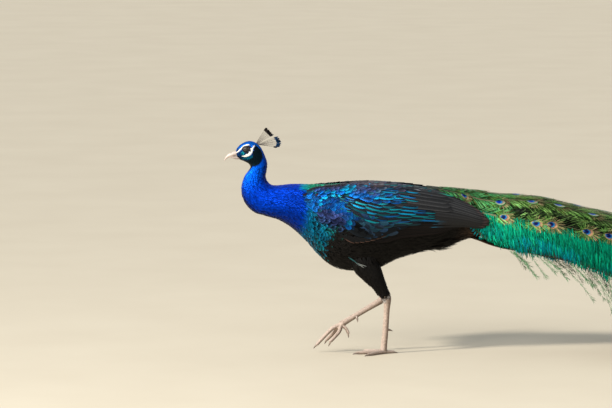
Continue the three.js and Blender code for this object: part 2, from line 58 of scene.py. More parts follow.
# Camera: side on, from six degrees above the horizontal and ten metres away, so that the bird is
# seen almost without perspective. The train runs out of the frame on the right.
AIM = Vector((-0.2028, 0.0, 0.3927))
CAMERA_DISTANCE = 10.0
CAMERA_RISE = math.radians(6)
SEEN_WIDTH = 1.591       # of the bird's middle plane
SENSOR = 36

back = Vector((0, -math.cos(CAMERA_RISE), math.sin(CAMERA_RISE)))
bpy.ops.object.camera_add(
    location=AIM + CAMERA_DISTANCE * back, rotation=(math.pi / 2 - CAMERA_RISE, 0, 0)
)
camera = bpy.context.object
camera.name = "camera"
camera.data.sensor_width = SENSOR
camera.data.lens = SENSOR * CAMERA_DISTANCE / SEEN_WIDTH
bpy.context.scene.camera = camera
bpy.context.scene.view_settings.view_transform = "Standard"

# Floor and studio light: a plain pale floor, a large soft key light from the upper left on the
# camera's side, a broad soft box and a pale surround that fills the shadows.
FLOOR_SIZE = 120
KEY_TURN = math.radians(30)      # away from the bird's own line
KEY_RISE = math.radians(33)
KEY_SOFTNESS = math.radians(7)

bpy.ops.object.select_all(action="DESELECT")
bpy.ops.mesh.primitive_plane_add(size=FLOOR_SIZE, location=(0, 0, 0))
floor = bpy.context.object
floor.name = "studio_floor"
floor_look = bpy.data.materials.new("pale_floor")
floor_look.use_nodes = True
tree = floor_look.node_tree
shader = tree.nodes["Principled BSDF"]
place = tree.nodes.new("ShaderNodeTexCoord")
mottle = tree.nodes.new("ShaderNodeTexNoise")
mottle.inputs["Scale"].default_value = 3.0
mottle.inputs["Detail"].default_value = 6.0
tint = tree.nodes.new("ShaderNodeMix")
tint.data_type = "RGBA"
tint.inputs["A"].default_value = (0.57, 0.49, 0.36, 1)
tint.inputs["B"].default_value = (0.64, 0.56, 0.42, 1)
tree.links.new(place.outputs["Object"], mottle.inputs["Vector"])
tree.links.new(mottle.outputs["Fac"], tint.inputs["Factor"])
tree.links.new(tint.outputs["Result"], shader.inputs["Base Color"])
shader.inputs["Roughness"].default_value = 0.9
floor.data.materials.append(floor_look)
floor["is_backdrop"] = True

bpy.ops.object.light_add(type="SUN")
key = bpy.context.object
key.name = "key_light"
travel = Vector((
    math.cos(KEY_RISE) * math.cos(KEY_TURN),
    math.cos(KEY_RISE) * math.sin(KEY_TURN),
    -math.sin(KEY_RISE),
))
key.rotation_euler = travel.to_track_quat("-Z", "Y").to_euler()
key.data.energy = 3.4
key.data.angle = KEY_SOFTNESS
key.data.color = (1.0, 0.96, 0.9)

bpy.ops.object.light_add(type="AREA", location=(-2.2, -3.4, 3.0))
box_light = bpy.context.object
box_light.name = "soft_box"
box_light.rotation_euler = (AIM - box_light.location).to_track_quat("-Z", "Y").to_euler()
box_light.data.size = 2.4
box_light.data.energy = 130

surround = bpy.data.worlds.new("studio_air")
surround.use_nodes = True
sky = surround.node_tree.nodes["Background"]
sky.inputs["Color"].default_value = (0.82, 0.9, 1.0, 1)
sky.inputs["Strength"].default_value = 0.62
bpy.context.scene.world = surround

# Plumage markings: the iridescent colours of the bird's tracts by their place on the body. The
# place is a station from the bill (0) to the tail's root (26) and an angle round from the back.
# Skin and feathers both take their colour from here. Shade is painted on the neck's underside, nape and
# root.
BODY = np.array([
    # upper line x, z; lower line x, z; half width; how much wider above than below
    [-0.386, 0.530, -0.381, 0.513, 0.0075, 0],
    [-0.3795, 0.542, -0.3745, 0.509, 0.0115, 0],
    [-0.3665, 0.552, -0.3625, 0.504, 0.015, -0.06],
    [-0.351, 0.557, -0.352, 0.4985, 0.0175, -0.08],
    [-0.335, 0.5535, -0.347, 0.4905, 0.018, -0.04],
    [-0.321, 0.5415, -0.349, 0.484, 0.018, 0],
    [-0.3105, 0.521, -0.354, 0.4775, 0.0185, 0],
    [-0.3035, 0.4985, -0.362, 0.466, 0.0205, 0],
    [-0.305, 0.479, -0.368, 0.450, 0.023, 0],
    [-0.3075, 0.465, -0.371, 0.432, 0.026, 0],
    [-0.303, 0.4525, -0.3685, 0.411, 0.029, 0],
    [-0.2935, 0.4435, -0.3575, 0.390, 0.032, 0],
    [-0.280, 0.4415, -0.3365, 0.371, 0.035, 0],
    [-0.262, 0.443, -0.307, 0.3615, 0.039, 0],
    [-0.239, 0.445, -0.273, 0.351, 0.046, 0.03],
    [-0.213, 0.445, -0.239, 0.330, 0.055, 0.05],
    [-0.182, 0.444, -0.203, 0.297, 0.065, 0.06],
    [-0.146, 0.4445, -0.169, 0.258, 0.074, 0.07],
    [-0.104, 0.447, -0.127, 0.228, 0.080, 0.08],
    [-0.057, 0.449, -0.075, 0.219, 0.083, 0.1],
    [-0.005, 0.4475, -0.018, 0.2255, 0.082, 0.12],
    [0.047, 0.444, 0.039, 0.253, 0.076, 0.12],
    [0.099, 0.4375, 0.099, 0.271, 0.067, 0.1],
    [0.151, 0.428, 0.156, 0.284, 0.058, 0.05],
    [0.203, 0.412, 0.208, 0.301, 0.049, 0],
    [0.250, 0.390, 0.250, 0.309, 0.038, 0],
    [0.276, 0.372, 0.276, 0.320, 0.024, 0],
])
CROWN_BLUE = (0.001, 0.092, 0.45)
NECK_AZURE = (0.0, 0.080, 0.58)
NECK_BLUE = (0.0, 0.036, 0.43)
# Painted shade: the neck's underside, nape and root, and darker still along its lower front.
NECK_PAINTED_SHADE = (0.0, 0.012, 0.13)
NECK_FOOT_PAINTED_SHADE = (0.0, 0.004, 0.045)
CHEEK_BLACK = (0.002, 0.007, 0.011)
LORE_TEAL = (0.002, 0.10, 0.17)
BREAST_TEAL = (0.001, 0.090, 0.17)
BACK_GREEN = (0.004, 0.27, 0.14)
BACK_CYAN = (0.002, 0.30, 0.40)
RUMP_BRONZE = (0.09, 0.20, 0.03)
BELLY_BLACK = (0.0042, 0.0034, 0.0027)
# The black patch behind and under the cheek, as [x, z, half thickness].
CHEEK_PATCH = np.array([
    [-0.3310, 0.5415, 0.0045], [-0.3268, 0.5265, 0.0115], [-0.3305, 0.5095, 0.0140],
    [-0.3420, 0.5030, 0.0125], [-0.3570, 0.5060, 0.0050],
])


def curve_through(rows, at):
    """Smooth values through rows of numbers, at places counted in rows, straight on past the ends."""
    rows = np.asarray(rows, float)
    at = np.asarray(at, float)
    inside = np.clip(at, 0, len(rows) - 1 - 1e-6)
    low = np.floor(inside).astype(int)
    f = (inside - low)[..., None]
    before = rows[np.maximum(low - 1, 0)]
    start = rows[low]
    end = rows[low + 1]
    after = rows[np.minimum(low + 2, len(rows) - 1)]
    value = 0.5 * (
        2 * start
        + (end - before) * f
        + (2 * before - 5 * start + 4 * end - after) * f**2
        + (3 * start - before - 3 * end + after) * f**3
    )
    return value + (at - inside)[..., None] * (end - start)


def on_body(station, angle, out):
    """Points on the body's outline surface, pushed outwards by `out`. The right side is positive."""
    top_x, top_z, low_x, low_z, half, egg = np.moveaxis(curve_through(BODY, station), -1, 0)
    rise_x = (top_x - low_x) / 2
    rise_z = (top_z - low_z) / 2
    reach = np.maximum(np.hypot(rise_x, rise_z), 1e-3)
    high = np.cos(angle) * (reach + out) / reach
    across = (half * (1 + egg * np.cos(angle)) + out) * np.sin(angle)
    return np.stack([(top_x + low_x) / 2 + rise_x * high, across, (top_z + low_z) / 2 + rise_z * high], -1)


def ease(value, low, high):
    """0 below low, 1 above high and smooth between them."""
    t = np.clip((value - low) / (high - low), 0, 1)
    return t * t * (3 - 2 * t)


def blend(first, second, share):
    """The second colour over the first, by a share for each place."""
    first = np.asarray(first, float)
    return first + (np.asarray(second, float) - first) * np.asarray(share)[..., None]


def stripe_depth(points, stripe):
    """How deep inside a face stripe each point is, seen from the side: above 0 inside."""
    best = np.full(points.shape[:-1], -1.0)
    fine = curve_through(stripe, np.linspace(0, len(stripe) - 1, 40))
    for x, z, half in fine:
        best = np.maximum(best, half - np.hypot(points[..., 0] - x, points[..., 2] - z))
    return best


def marking(station, angle):
    """The plumage colour at a place on the head, neck and trunk, with painted shade on the neck."""
    down = np.abs(np.degrees(angle))
    side = np.sin(np.radians(down))
    colour = blend(NECK_AZURE, NECK_BLUE, ease(station, 7.5, 11))
    # Painted shade on the neck: darker on its underside, towards its root, along its lower front and down
    # the nape.
    colour = blend(colour, NECK_PAINTED_SHADE, 0.92 * ease(down, 118, 165) * ease(station, 8, 11))
    colour = blend(colour, NECK_PAINTED_SHADE, 0.58 * ease(station, 12.0, 15) * ease(down, 25, 60))
    colour = blend(colour, NECK_FOOT_PAINTED_SHADE, 0.9 * ease(down, 140, 172) * ease(station, 9, 11))
    nape = ease(-down, -78, -20) * ease(station, 3.4, 5) * ease(-station, -12, -9.5)
    colour = blend(colour, NECK_PAINTED_SHADE, 0.85 * nape)
    colour = blend(colour, CROWN_BLUE, ease(-station, -6.5, -4.5) * ease(-down, -95, -60))
    patch = stripe_depth(on_body(station, angle, 0 * angle), CHEEK_PATCH) * (down > 30)
    throat = ease(down, 100, 125) * ease(-station, -6.6, -5.8)
    colour = blend(colour, CHEEK_BLACK, np.maximum(ease(patch, -0.002, 0.002) * (patch != 0), throat))
    front = 15.05 + 0.5 * side
    teal = ease(station, front, front + 0.7) * ease(down, 20, 40)
    colour = blend(colour, BREAST_TEAL, teal)
    green = ease(station, 14.9, 15.3) * ease(-down, -42, -28)
    colour = blend(colour, blend(BACK_CYAN, BACK_GREEN, ease(station, 15.2, 15.9)), green)
    colour = blend(colour, RUMP_BRONZE, ease(station, 18, 22) * ease(-down, -60, -40))
    belly = ease(station, 17.1, 18.0) * ease(down, 55, 75)
    return blend(colour, BELLY_BLACK, belly)


# Skin: one closed skin under all the feathers, from the bill's root to the rump and down both legs
# to the toes. It is bare and white in two stripes on the face, and scaled on the legs.
FLESH = ["head", "neck_upper", "neck_lower", "breast", "belly_and_back", "rump"]
FLESH += [f"{part}_{side}" for side in ("left", "right") for part in ("thigh", "shank")]
TOES = ["middle", "outer", "inner", "hind"]
FLESH += [f"toe_{side}_{toe}" for side in ("left", "right") for toe in TOES]
WING_TRACTS = ["coverts", "secondaries", "primaries"]
WINGS = [f"wing_{side}_{tract}" for side in ("left", "right") for tract in WING_TRACTS]
PART_GAP = 0.0003        # closed before the pieces are fused
SKIN_GRAIN = 0.0028
HOCK = 0.160             # height of the ankle joint, where the bare leg starts
EYE_CENTRE = (-0.3593, 0.011, 0.5365)
EYE_RADIUS = 0.0074
BARE_WHITE = (0.78, 0.77, 0.68)
LEG_PINK = (0.50, 0.38, 0.30)
# Painted shade for the rear of the bare legs, away from the light.
LEG_REAR_SHADE = (0.15, 0.095, 0.062)
LID_DARK = (0.014, 0.012, 0.014)
# The two bare stripes as [x, z, half thickness]: over the eye, and round behind and below it.
BROW_STRIPE = np.array([
    [-0.3856, 0.5250, 0.0012], [-0.3796, 0.5300, 0.0020], [-0.3708, 0.5392, 0.0022],
    [-0.3608, 0.5468, 0.0022], [-0.3500, 0.5490, 0.0014],
])
CHEEK_STRIPE = np.array([
    [-0.3368, 0.5472, 0.0025], [-0.3428, 0.5400, 0.0036], [-0.3452, 0.5314, 0.0040],
    [-0.3503, 0.5246, 0.0042], [-0.3586, 0.5202, 0.0036], [-0.3680, 0.5182, 0.0020],
])


def activate(thing):
    """Makes one object the only selected and the active one."""
    bpy.ops.object.select_all(action="DESELECT")
    thing.select_set(True)
    bpy.context.view_layer.objects.active = thing


def merged_copy(name, nodes):
    """One new object with the merged solids of these nodes."""
    points, faces = [], []
    for node in nodes:
        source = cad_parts[node].data
        start = len(points)
        points += [tuple(v.co) for v in source.vertices]
        faces += [[start + i for i in face.vertices] for face in source.polygons]
    mesh = bpy.data.meshes.new(name)
    mesh.from_pydata(points, [], faces)
    thing = bpy.data.objects.new(name, mesh)
    bpy.context.scene.collection.objects.link(thing)
    activate(thing)
    bpy.ops.object.mode_set(mode="EDIT")
    bpy.ops.mesh.select_all(action="SELECT")
    bpy.ops.mesh.remove_doubles(threshold=0.00001)
    bpy.ops.object.mode_set(mode="OBJECT")
    return thing


def fused(thing, grain, gap=PART_GAP):
    """Grows each solid over the gaps between them and fuses all into one closed mesh."""
    activate(thing)
    bpy.ops.object.mode_set(mode="EDIT")
    bpy.ops.mesh.select_all(action="SELECT")
    bpy.ops.transform.shrink_fatten(value=gap)
    bpy.ops.object.mode_set(mode="OBJECT")
    thing.data.remesh_voxel_size = grain
    bpy.ops.object.voxel_remesh()
    return thing


def points_of(mesh):
    """The vertices of a mesh as rows of x, y, z."""
    flat = np.empty(len(mesh.vertices) * 3, np.float32)
    mesh.vertices.foreach_get("co", flat)
    return flat.reshape(-1, 3).astype(float)


def normals_of(mesh):
    """The vertex normals of a mesh as rows of x, y, z."""
    flat = np.empty(len(mesh.vertices) * 3, np.float32)
    mesh.vertices.foreach_get("normal", flat)
    return flat.reshape(-1, 3).astype(float)


def move_points(mesh, points):
    """Puts the vertices of a mesh at these points."""
    mesh.vertices.foreach_set("co", points.astype(np.float32).ravel())
    mesh.update()


def bare_face(points):
    """How deep inside the bare white face each point is."""
    depth = np.maximum(stripe_depth(points, BROW_STRIPE), stripe_depth(points, CHEEK_STRIPE))
    return np.where(np.abs(points[:, 1]) > 0.006, depth, -1.0)


def leg_zone(points):
    """True on the bare part of the legs and on the toes."""
    return (points[:, 2] < HOCK) & (points[:, 0] > -0.24) & (points[:, 0] < 0.06)


solids = merged_copy("solid_form", FLESH)
solid_tree = BVHTree.FromPolygons(
    [v.co for v in solids.data.vertices], [list(f.vertices) for f in solids.data.polygons]
)
bpy.data.objects.remove(solids)

skin = fused(merged_copy("skin", FLESH + WINGS), SKIN_GRAIN)
skin.data.polygons.foreach_set("use_smooth", [True] * len(skin.data.polygons))

# The face and the bare legs get a finer mesh, drawn back onto their own form.
co = points_of(skin.data)
fine_part = leg_zone(co) | ((co[:, 0] < -0.325) & (co[:, 2] > 0.485))
activate(skin)
bpy.ops.object.mode_set(mode="EDIT")
bpy.ops.mesh.select_all(action="DESELECT")
bpy.ops.object.mode_set(mode="OBJECT")
skin.data.vertices.foreach_set("select", fine_part.tolist())
for edge in skin.data.edges:
    edge.select = bool(fine_part[edge.vertices[0]] and fine_part[edge.vertices[1]])
for face in skin.data.polygons:
    face.select = bool(all(fine_part[i] for i in face.vertices))
bpy.ops.object.mode_set(mode="EDIT")
bpy.ops.mesh.subdivide(number_cuts=1, quadcorner="INNERVERT")
bpy.ops.mesh.select_all(action="SELECT")
bpy.ops.mesh.vertices_smooth(factor=0.5, repeat=3)
bpy.ops.object.mode_set(mode="OBJECT")

co = points_of(skin.data)
near_form = leg_zone(co) | ((co[:, 0] < -0.325) & (co[:, 2] > 0.485))
for i in np.flatnonzero(near_form):
    place, _, _, gap = solid_tree.find_nearest(Vector(co[i]), 0.004)
    if place is not None:
        co[i] = place
move_points(skin.data, co)
activate(skin)
bpy.ops.object.mode_set(mode="EDIT")
bpy.ops.mesh.select_all(action="SELECT")
bpy.ops.mesh.vertices_smooth(factor=0.5, repeat=2)
bpy.ops.object.mode_set(mode="OBJECT")

# Each place of the skin is matched to its station and angle on the body.
stations = np.linspace(0, len(BODY) - 1, 261)
angles = np.radians(np.linspace(-180, 180, 73))
net_station, net_angle = np.meshgrid(stations, angles, indexing="ij")
net = on_body(net_station, net_angle, np.zeros_like(net_angle)).reshape(-1, 3)
net_tree = KDTree(len(net))
for i, p in enumerate(net):
    net_tree.insert(p, i)
net_tree.balance()
co = points_of(skin.data)
match = np.array([net_tree.find(p)[1] for p in co])
skin_station = net_station.ravel()[match]
skin_angle = net_angle.ravel()[match]

# It is drawn in by the coat's depth: least on the face and legs, most on the trunk.
is_leg = leg_zone(co)
coat = 0.0010 + 0.0025 * ease(skin_station, 4, 9) + 0.0045 * ease(skin_station, 12, 17)
coat = np.where((co[:, 2] < 0.235) & (co[:, 0] > -0.12), 0.0045, coat)
coat = np.where(is_leg, 0.0002, coat)
bare = bare_face(co)
coat = coat - 0.0012 * ease(bare, -0.0006, 0.0012)
for side in (-1, 1):
    centre = np.array(EYE_CENTRE) * (1, side, 1)
    rim = np.abs(np.hypot(co[:, 0] - centre[0], co[:, 2] - centre[2]) - 0.0062)
    lid = ease(-rim, -0.0016, 0) * (co[:, 1] * side > 0.008)
    coat = coat - 0.0013 * lid
co -= normals_of(skin.data) * coat[:, None]
co[:, 2] = np.maximum(co[:, 2], 0.0)
move_points(skin.data, co)

shade = marking(skin_station, skin_angle)
shade = blend(shade, BELLY_BLACK, (co[:, 2] < 0.235) & (co[:, 0] > -0.1))
shade = blend(shade, BARE_WHITE, ease(bare, -0.0004, 0.0004))
for side in (-1, 1):
    centre = np.array(EYE_CENTRE) * (1, side, 1)
    socket = np.hypot((co[:, 0] - centre[0]) / 1.12, co[:, 2] - centre[2])
    shade = blend(shade, LID_DARK, ease(-socket, -0.0096, -0.0084) * (co[:, 1] * side > 0.004))
# Painted shade: the bare legs get darker towards their rear, away from the light.
leg_painted_shade = blend(LEG_PINK, LEG_REAR_SHADE, 0.8 * ease(normals_of(skin.data)[:, 0], 0.0, 0.9))
shade = np.where(is_leg[:, None], leg_painted_shade, shade)


def paint(mesh, colours):
    """Stores a colour for each vertex."""
    layer = mesh.color_attributes.new("plumage", "FLOAT_COLOR", "POINT")
    flat = np.concatenate([colours, np.ones((len(colours), 1))], 1)
    layer.data.foreach_set("color", flat.astype(np.float32).ravel())


paint(skin.data, shade)
loops = np.empty(len(skin.data.loops), np.int32)
skin.data.loops.foreach_get("vertex_index", loops)
flat_map = np.stack([skin_station / (len(BODY) - 1), skin_angle / math.tau + 0.5], -1)
skin_map = skin.data.uv_layers.new(name="OFBake")
skin_map.data.foreach_set("uv", flat_map[loops].astype(np.float32).ravel())

skin_look = bpy.data.materials.new("bird_skin")
skin_look.use_nodes = True
tree = skin_look.node_tree
shader = tree.nodes["Principled BSDF"]
colour = tree.nodes.new("ShaderNodeAttribute")
colour.attribute_name = "plumage"
place = tree.nodes.new("ShaderNodeTexCoord")
pores = tree.nodes.new("ShaderNodeTexVoronoi")
pores.inputs["Scale"].default_value = 900
blotch = tree.nodes.new("ShaderNodeTexNoise")
blotch.inputs["Scale"].default_value = 120
blotch.inputs["Detail"].default_value = 4
tone = tree.nodes.new("ShaderNodeMapRange")
tone.inputs["To Min"].default_value = 0.75
tone.inputs["To Max"].default_value = 1.2
toned = tree.nodes.new("ShaderNodeMix")
toned.data_type = "RGBA"
toned.blend_type = "MULTIPLY"
toned.inputs["Factor"].default_value = 1
relief = tree.nodes.new("ShaderNodeBump")
relief.inputs["Strength"].default_value = 0.35
relief.inputs["Distance"].default_value = 0.0004
tree.links.new(place.outputs["Object"], pores.inputs["Vector"])
tree.links.new(place.outputs["Object"], blotch.inputs["Vector"])
tree.links.new(blotch.outputs["Fac"], tone.inputs["Value"])
tree.links.new(colour.outputs["Color"], toned.inputs["A"])
tree.links.new(tone.outputs["Result"], toned.inputs["B"])
tree.links.new(toned.outputs["Result"], shader.inputs["Base Color"])
tree.links.new(pores.outputs["Distance"], relief.inputs["Height"])
tree.links.new(relief.outputs["Normal"], shader.inputs["Normal"])
shader.inputs["Roughness"].default_value = 0.55
skin.data.materials.clear()
skin.data.materials.append(skin_look)
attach(skin, "root")
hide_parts(*FLESH)

# Feather cloth: every plumage piece is a joined mesh of single feathers. Each feather is a thin,
# cupped vane with its root sunk in the coat and its tip lying over the next row.
FEATHER_SPOT = 0.003     # how wide each feather is on its baked map
REST_ABOVE = 0.0008      # nothing goes lower than this over the floor


def unit(rows):
    """Rows of vectors brought to length 1."""
    return rows / np.maximum(np.linalg.norm(rows, axis=-1, keepdims=True), 1e-9)


def rounded(run, widest=0.62, root=0.35):
    """Outline of a contour feather: half width along its run, from a narrow root to a round tip."""
    rise = root + (1 - root) * np.sin(np.pi / 2 * np.clip(run / widest, 0, 1))
    fall = np.sqrt(np.clip(1 - (np.clip(run - widest, 0, 1) / (1 - widest)) ** 2, 0.02, 1))
    return rise * fall


def pointed(run):
    """Outline of a hackle or barb: widest near its root, drawn out to a fine tip."""
    return np.clip(0.45 + 0.9 * run, 0, 1) * np.sqrt(np.clip(1 - run**2.2, 0.01, 1))


def lay_feathers(
    surface, u, v, length, width, depth, lift,
    outline=rounded, turn=0.0, rows=6, cols=5, cup=0.12, bow=0.0, tilt=0.0,
):
    """Vanes laid along a surface from their roots at (u, v). They start `depth` under it and end
    `lift` over it. Gives a lot: the points, and each one's place on its own vane."""
    u, v, length, width, depth, lift, turn, bow, tilt = np.broadcast_arrays(
        *[np.asarray(x, float) for x in (u, v, length, width, depth, lift, turn, bow, tilt)]
    )
    nudge = 1e-3
    level = np.zeros_like(u)
    here = surface(u, v, level)
    along = (surface(u + nudge, v, level) - here) / nudge
    around = (surface(u, v + nudge, level) - here) / nudge
    outward = unit(surface(u, v, level + nudge) - here)
    normal = unit(np.cross(along, around))
    normal = normal * np.where((normal * outward).sum(-1, keepdims=True) < 0, -1, 1)
    lie = unit(along)
    across = np.cross(normal, lie)
    cos, sin = np.cos(turn)[:, None], np.sin(turn)[:, None]
    lie, across = lie * cos + across * sin, across * cos - lie * sin
    run = (1 - (1 - np.linspace(0, 1, rows + 1)) ** 1.5)[None, :, None]
    wide = np.linspace(-1, 1, cols)[None, None, :]
    spread = wide * outline(run) * width[:, None, None] / 2
    reach = run * length[:, None, None] + 0 * wide
    spread = spread + bow[:, None, None] * length[:, None, None] * run**2
    step = lie[:, None, None] * reach[..., None] + across[:, None, None] * spread[..., None]
    g_uu = (along * along).sum(-1)
    g_uu = np.maximum(g_uu, 0.15 * np.median(g_uu))
    g_uv = (along * around).sum(-1)
    g_vv = (around * around).sum(-1)
    size = np.maximum(g_uu * g_vv - g_uv**2, 1e-12)
    e_u = (step * along[:, None, None]).sum(-1)
    e_v = (step * around[:, None, None]).sum(-1)
    at_u = u[:, None, None] + (e_u * g_vv[:, None, None] - e_v * g_uv[:, None, None]) / size[:, None, None]
    at_v = v[:, None, None] + (e_v * g_uu[:, None, None] - e_u * g_uv[:, None, None]) / size[:, None, None]
    high = (depth + lift)[:, None, None] * run**0.7 - depth[:, None, None]
    out = high - cup * width[:, None, None] * wide**2 * (0.3 + 0.7 * run)
    out = out + (tilt * width)[:, None, None] * wide / 2
    points = surface(at_u, at_v, out)
    return {
        "points": points, "across": 100 * spread, "along": 100 * reach,
        "run": run + 0 * spread, "wide": wide + 0 * spread, "u": at_u, "v": at_v,
    }


def feather_piece(name, lots, look, replaced=()):
    """Joins lots of feathers into one piece. A lot has points, colours, roots on the skin's map and
    the place of each point across and along its own vane, in centimetres."""
    co, faces, colours, vanes, spots = [], [], [], [], []
    start = 0
    for lot in lots:
        points = lot["points"].copy()
        points[..., 2] = np.maximum(points[..., 2], REST_ABOVE)
        count, rows, cols, _ = points.shape
        grid = np.arange(rows * cols).reshape(rows, cols)
        quads = np.stack([grid[:-1, :-1], grid[1:, :-1], grid[1:, 1:], grid[:-1, 1:]], -1).reshape(-1, 4)
        faces.append((start + np.arange(count)[:, None, None] * rows * cols + quads).reshape(-1, 4))
        start += count * rows * cols
        co.append(points.reshape(-1, 3))
        colours.append(np.clip(lot["colour"], 0, 1).reshape(-1, 3))
        vanes.append(np.stack([lot["across"], lot["along"]], -1).reshape(-1, 2))
        own = np.stack([lot["wide"] / 2, lot["run"] - 0.5], -1) * FEATHER_SPOT
        spots.append((lot["spot"][:, None, None] + own).reshape(-1, 2))
    co, faces = np.concatenate(co), np.concatenate(faces)
    mesh = bpy.data.meshes.new(name)
    mesh.vertices.add(len(co))
    mesh.vertices.foreach_set("co", co.astype(np.float32).ravel())
    mesh.loops.add(faces.size)
    mesh.loops.foreach_set("vertex_index", faces.astype(np.int32).ravel())
    mesh.polygons.add(len(faces))
    mesh.polygons.foreach_set("loop_start", np.arange(len(faces), dtype=np.int32) * 4)
    mesh.update(calc_edges=True)
    mesh.polygons.foreach_set("use_smooth", [True] * len(faces))
    paint(mesh, np.concatenate(colours))
    for title, rows in (("OFBake", np.concatenate(spots)), ("vane", np.concatenate(vanes))):
        layer = mesh.uv_layers.new(name=title)
        layer.data.foreach_set("uv", rows[faces.ravel()].astype(np.float32).ravel())
    thing = bpy.data.objects.new(name, mesh)
    bpy.context.scene.collection.objects.link(thing)
    mesh.materials.append(look)
    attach(thing, "root")
    if replaced:
        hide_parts(*replaced)
    return thing


def barb_group():
    """Shader group: the fine barbs that slope from a feather's shaft, with the shaft as a pale line."""
    group = bpy.data.node_groups.new("feather_barbs", "ShaderNodeTree")
    for title, kind, way in (
        ("Colour", "NodeSocketColor", "INPUT"), ("Barbs per cm", "NodeSocketFloat", "INPUT"),
        ("Contrast", "NodeSocketFloat", "INPUT"), ("Slope", "NodeSocketFloat", "INPUT"),
        ("Colour", "NodeSocketColor", "OUTPUT"), ("Height", "NodeSocketFloat", "OUTPUT"),
    ):
        group.interface.new_socket(name=title, in_out=way, socket_type=kind)
    nodes, links = group.nodes, group.links
    given, made = nodes.new("NodeGroupInput"), nodes.new("NodeGroupOutput")
    vane = nodes.new("ShaderNodeUVMap")
    vane.uv_map = "vane"
    split = nodes.new("ShaderNodeSeparateXYZ")
    links.new(vane.outputs["UV"], split.inputs["Vector"])

    def calc(operation, *values):
        node = nodes.new("ShaderNodeMath")
        node.operation = operation
        for socket, value in zip(node.inputs, values):
            if isinstance(value, (int, float)):
                socket.default_value = value
            else:
                links.new(value, socket)
        return node.outputs["Value"]

    off_shaft = calc("ABSOLUTE", split.outputs["X"])
    wander = nodes.new("ShaderNodeTexNoise")
    wander.inputs["Scale"].default_value = 2.2
    wander.inputs["Detail"].default_value = 2
    links.new(vane.outputs["UV"], wander.inputs["Vector"])
    phase = calc("SUBTRACT", split.outputs["Y"], calc("MULTIPLY", off_shaft, given.outputs["Slope"]))
    phase = calc("ADD", phase, calc("MULTIPLY", wander.outputs["Fac"], 0.35))
    wave = calc("SINE", calc("MULTIPLY", calc("MULTIPLY", phase, given.outputs["Barbs per cm"]), math.tau))
    shaft = calc("LESS_THAN", off_shaft, 0.025)
    gain = calc("MULTIPLY", wave, given.outputs["Contrast"])
    gain = calc("ADD", gain, calc("MULTIPLY_ADD", wander.outputs["Fac"], 0.5, 0.75))
    gain = calc("ADD", gain, calc("MULTIPLY", shaft, 0.12))
    toned = nodes.new("ShaderNodeMix")
    toned.data_type = "RGBA"
    toned.blend_type = "MULTIPLY"
    toned.inputs["Factor"].default_value = 1
    links.new(given.outputs["Colour"], toned.inputs["A"])
    links.new(gain, toned.inputs["B"])
    links.new(toned.outputs["Result"], made.inputs["Colour"])
    links.new(calc("ADD", wave, calc("MULTIPLY", shaft, 2.0)), made.inputs["Height"])
    return group


feather_barbs = barb_group()


def feather_look(name, metal, rough, barbs=14, contrast=0.16, slope=0.8, shine=0.08, depth=0.0002):
    """A feather material: painted colour with barbs, and a metallic gloss where it is iridescent."""
    look = bpy.data.materials.new(name)
    look.use_nodes = True
    nodes, links = look.node_tree.nodes, look.node_tree.links
    body = nodes["Principled BSDF"]
    painted = nodes.new("ShaderNodeAttribute")
    painted.attribute_name = "plumage"
    barb = nodes.new("ShaderNodeGroup")
    barb.node_tree = feather_barbs
    barb.inputs["Barbs per cm"].default_value = barbs
    barb.inputs["Contrast"].default_value = contrast
    barb.inputs["Slope"].default_value = slope
    relief = nodes.new("ShaderNodeBump")
    relief.inputs["Strength"].default_value = 0.3
    relief.inputs["Distance"].default_value = depth
    links.new(painted.outputs["Color"], barb.inputs["Colour"])
    links.new(barb.outputs["Colour"], body.inputs["Base Color"])
    links.new(barb.outputs["Height"], relief.inputs["Height"])
    links.new(relief.outputs["Normal"], body.inputs["Normal"])
    body.inputs["Metallic"].default_value = metal
    body.inputs["Roughness"].default_value = rough
    body.inputs["Specular IOR Level"].default_value = shine
    return look


def body_spots(station, angle):
    """Roots on the unwrap of the skin."""
    return np.stack([station / (len(BODY) - 1), angle / math.tau + 0.5], -1)


def body_rows(first, last, gap, across_gap, low_angle, high_angle, jitter=0.25):
    """Staggered rows of feather roots round the body between two stations and two angles down
    from the back line, on both sides. Gaps are in metres."""
    found = []
    station, row = first, 0
    while station < last:
        angle = np.linspace(-math.pi, math.pi, 721)
        ring = on_body(np.full_like(angle, station), angle, np.zeros_like(angle))
        arc = np.concatenate([[0], np.cumsum(np.linalg.norm(np.diff(ring, axis=0), axis=1))])
        count = max(int(arc[-1] / across_gap), 6)
        at = (np.arange(count) + 0.5 * (row % 2) + 0.25) / count * arc[-1]
        at += chance.normal(0, jitter * across_gap, count)
        here = np.interp(at % arc[-1], arc, angle)
        place = station + np.zeros(count)
        found.append(np.stack([place, here], 1))
        ahead = on_body(np.array([station, station + 0.01]), np.array([1.4, 1.4]), np.zeros(2))
        station += 0.01 * gap / max(np.linalg.norm(ahead[1] - ahead[0]), 1e-5)
        row += 1
    found = np.concatenate(found)
    found[:, 0] += chance.normal(0, jitter * gap / 0.03, len(found))
    down = np.abs(np.degrees(found[:, 1]))
    return found[(down >= low_angle) & (down <= high_angle)].T


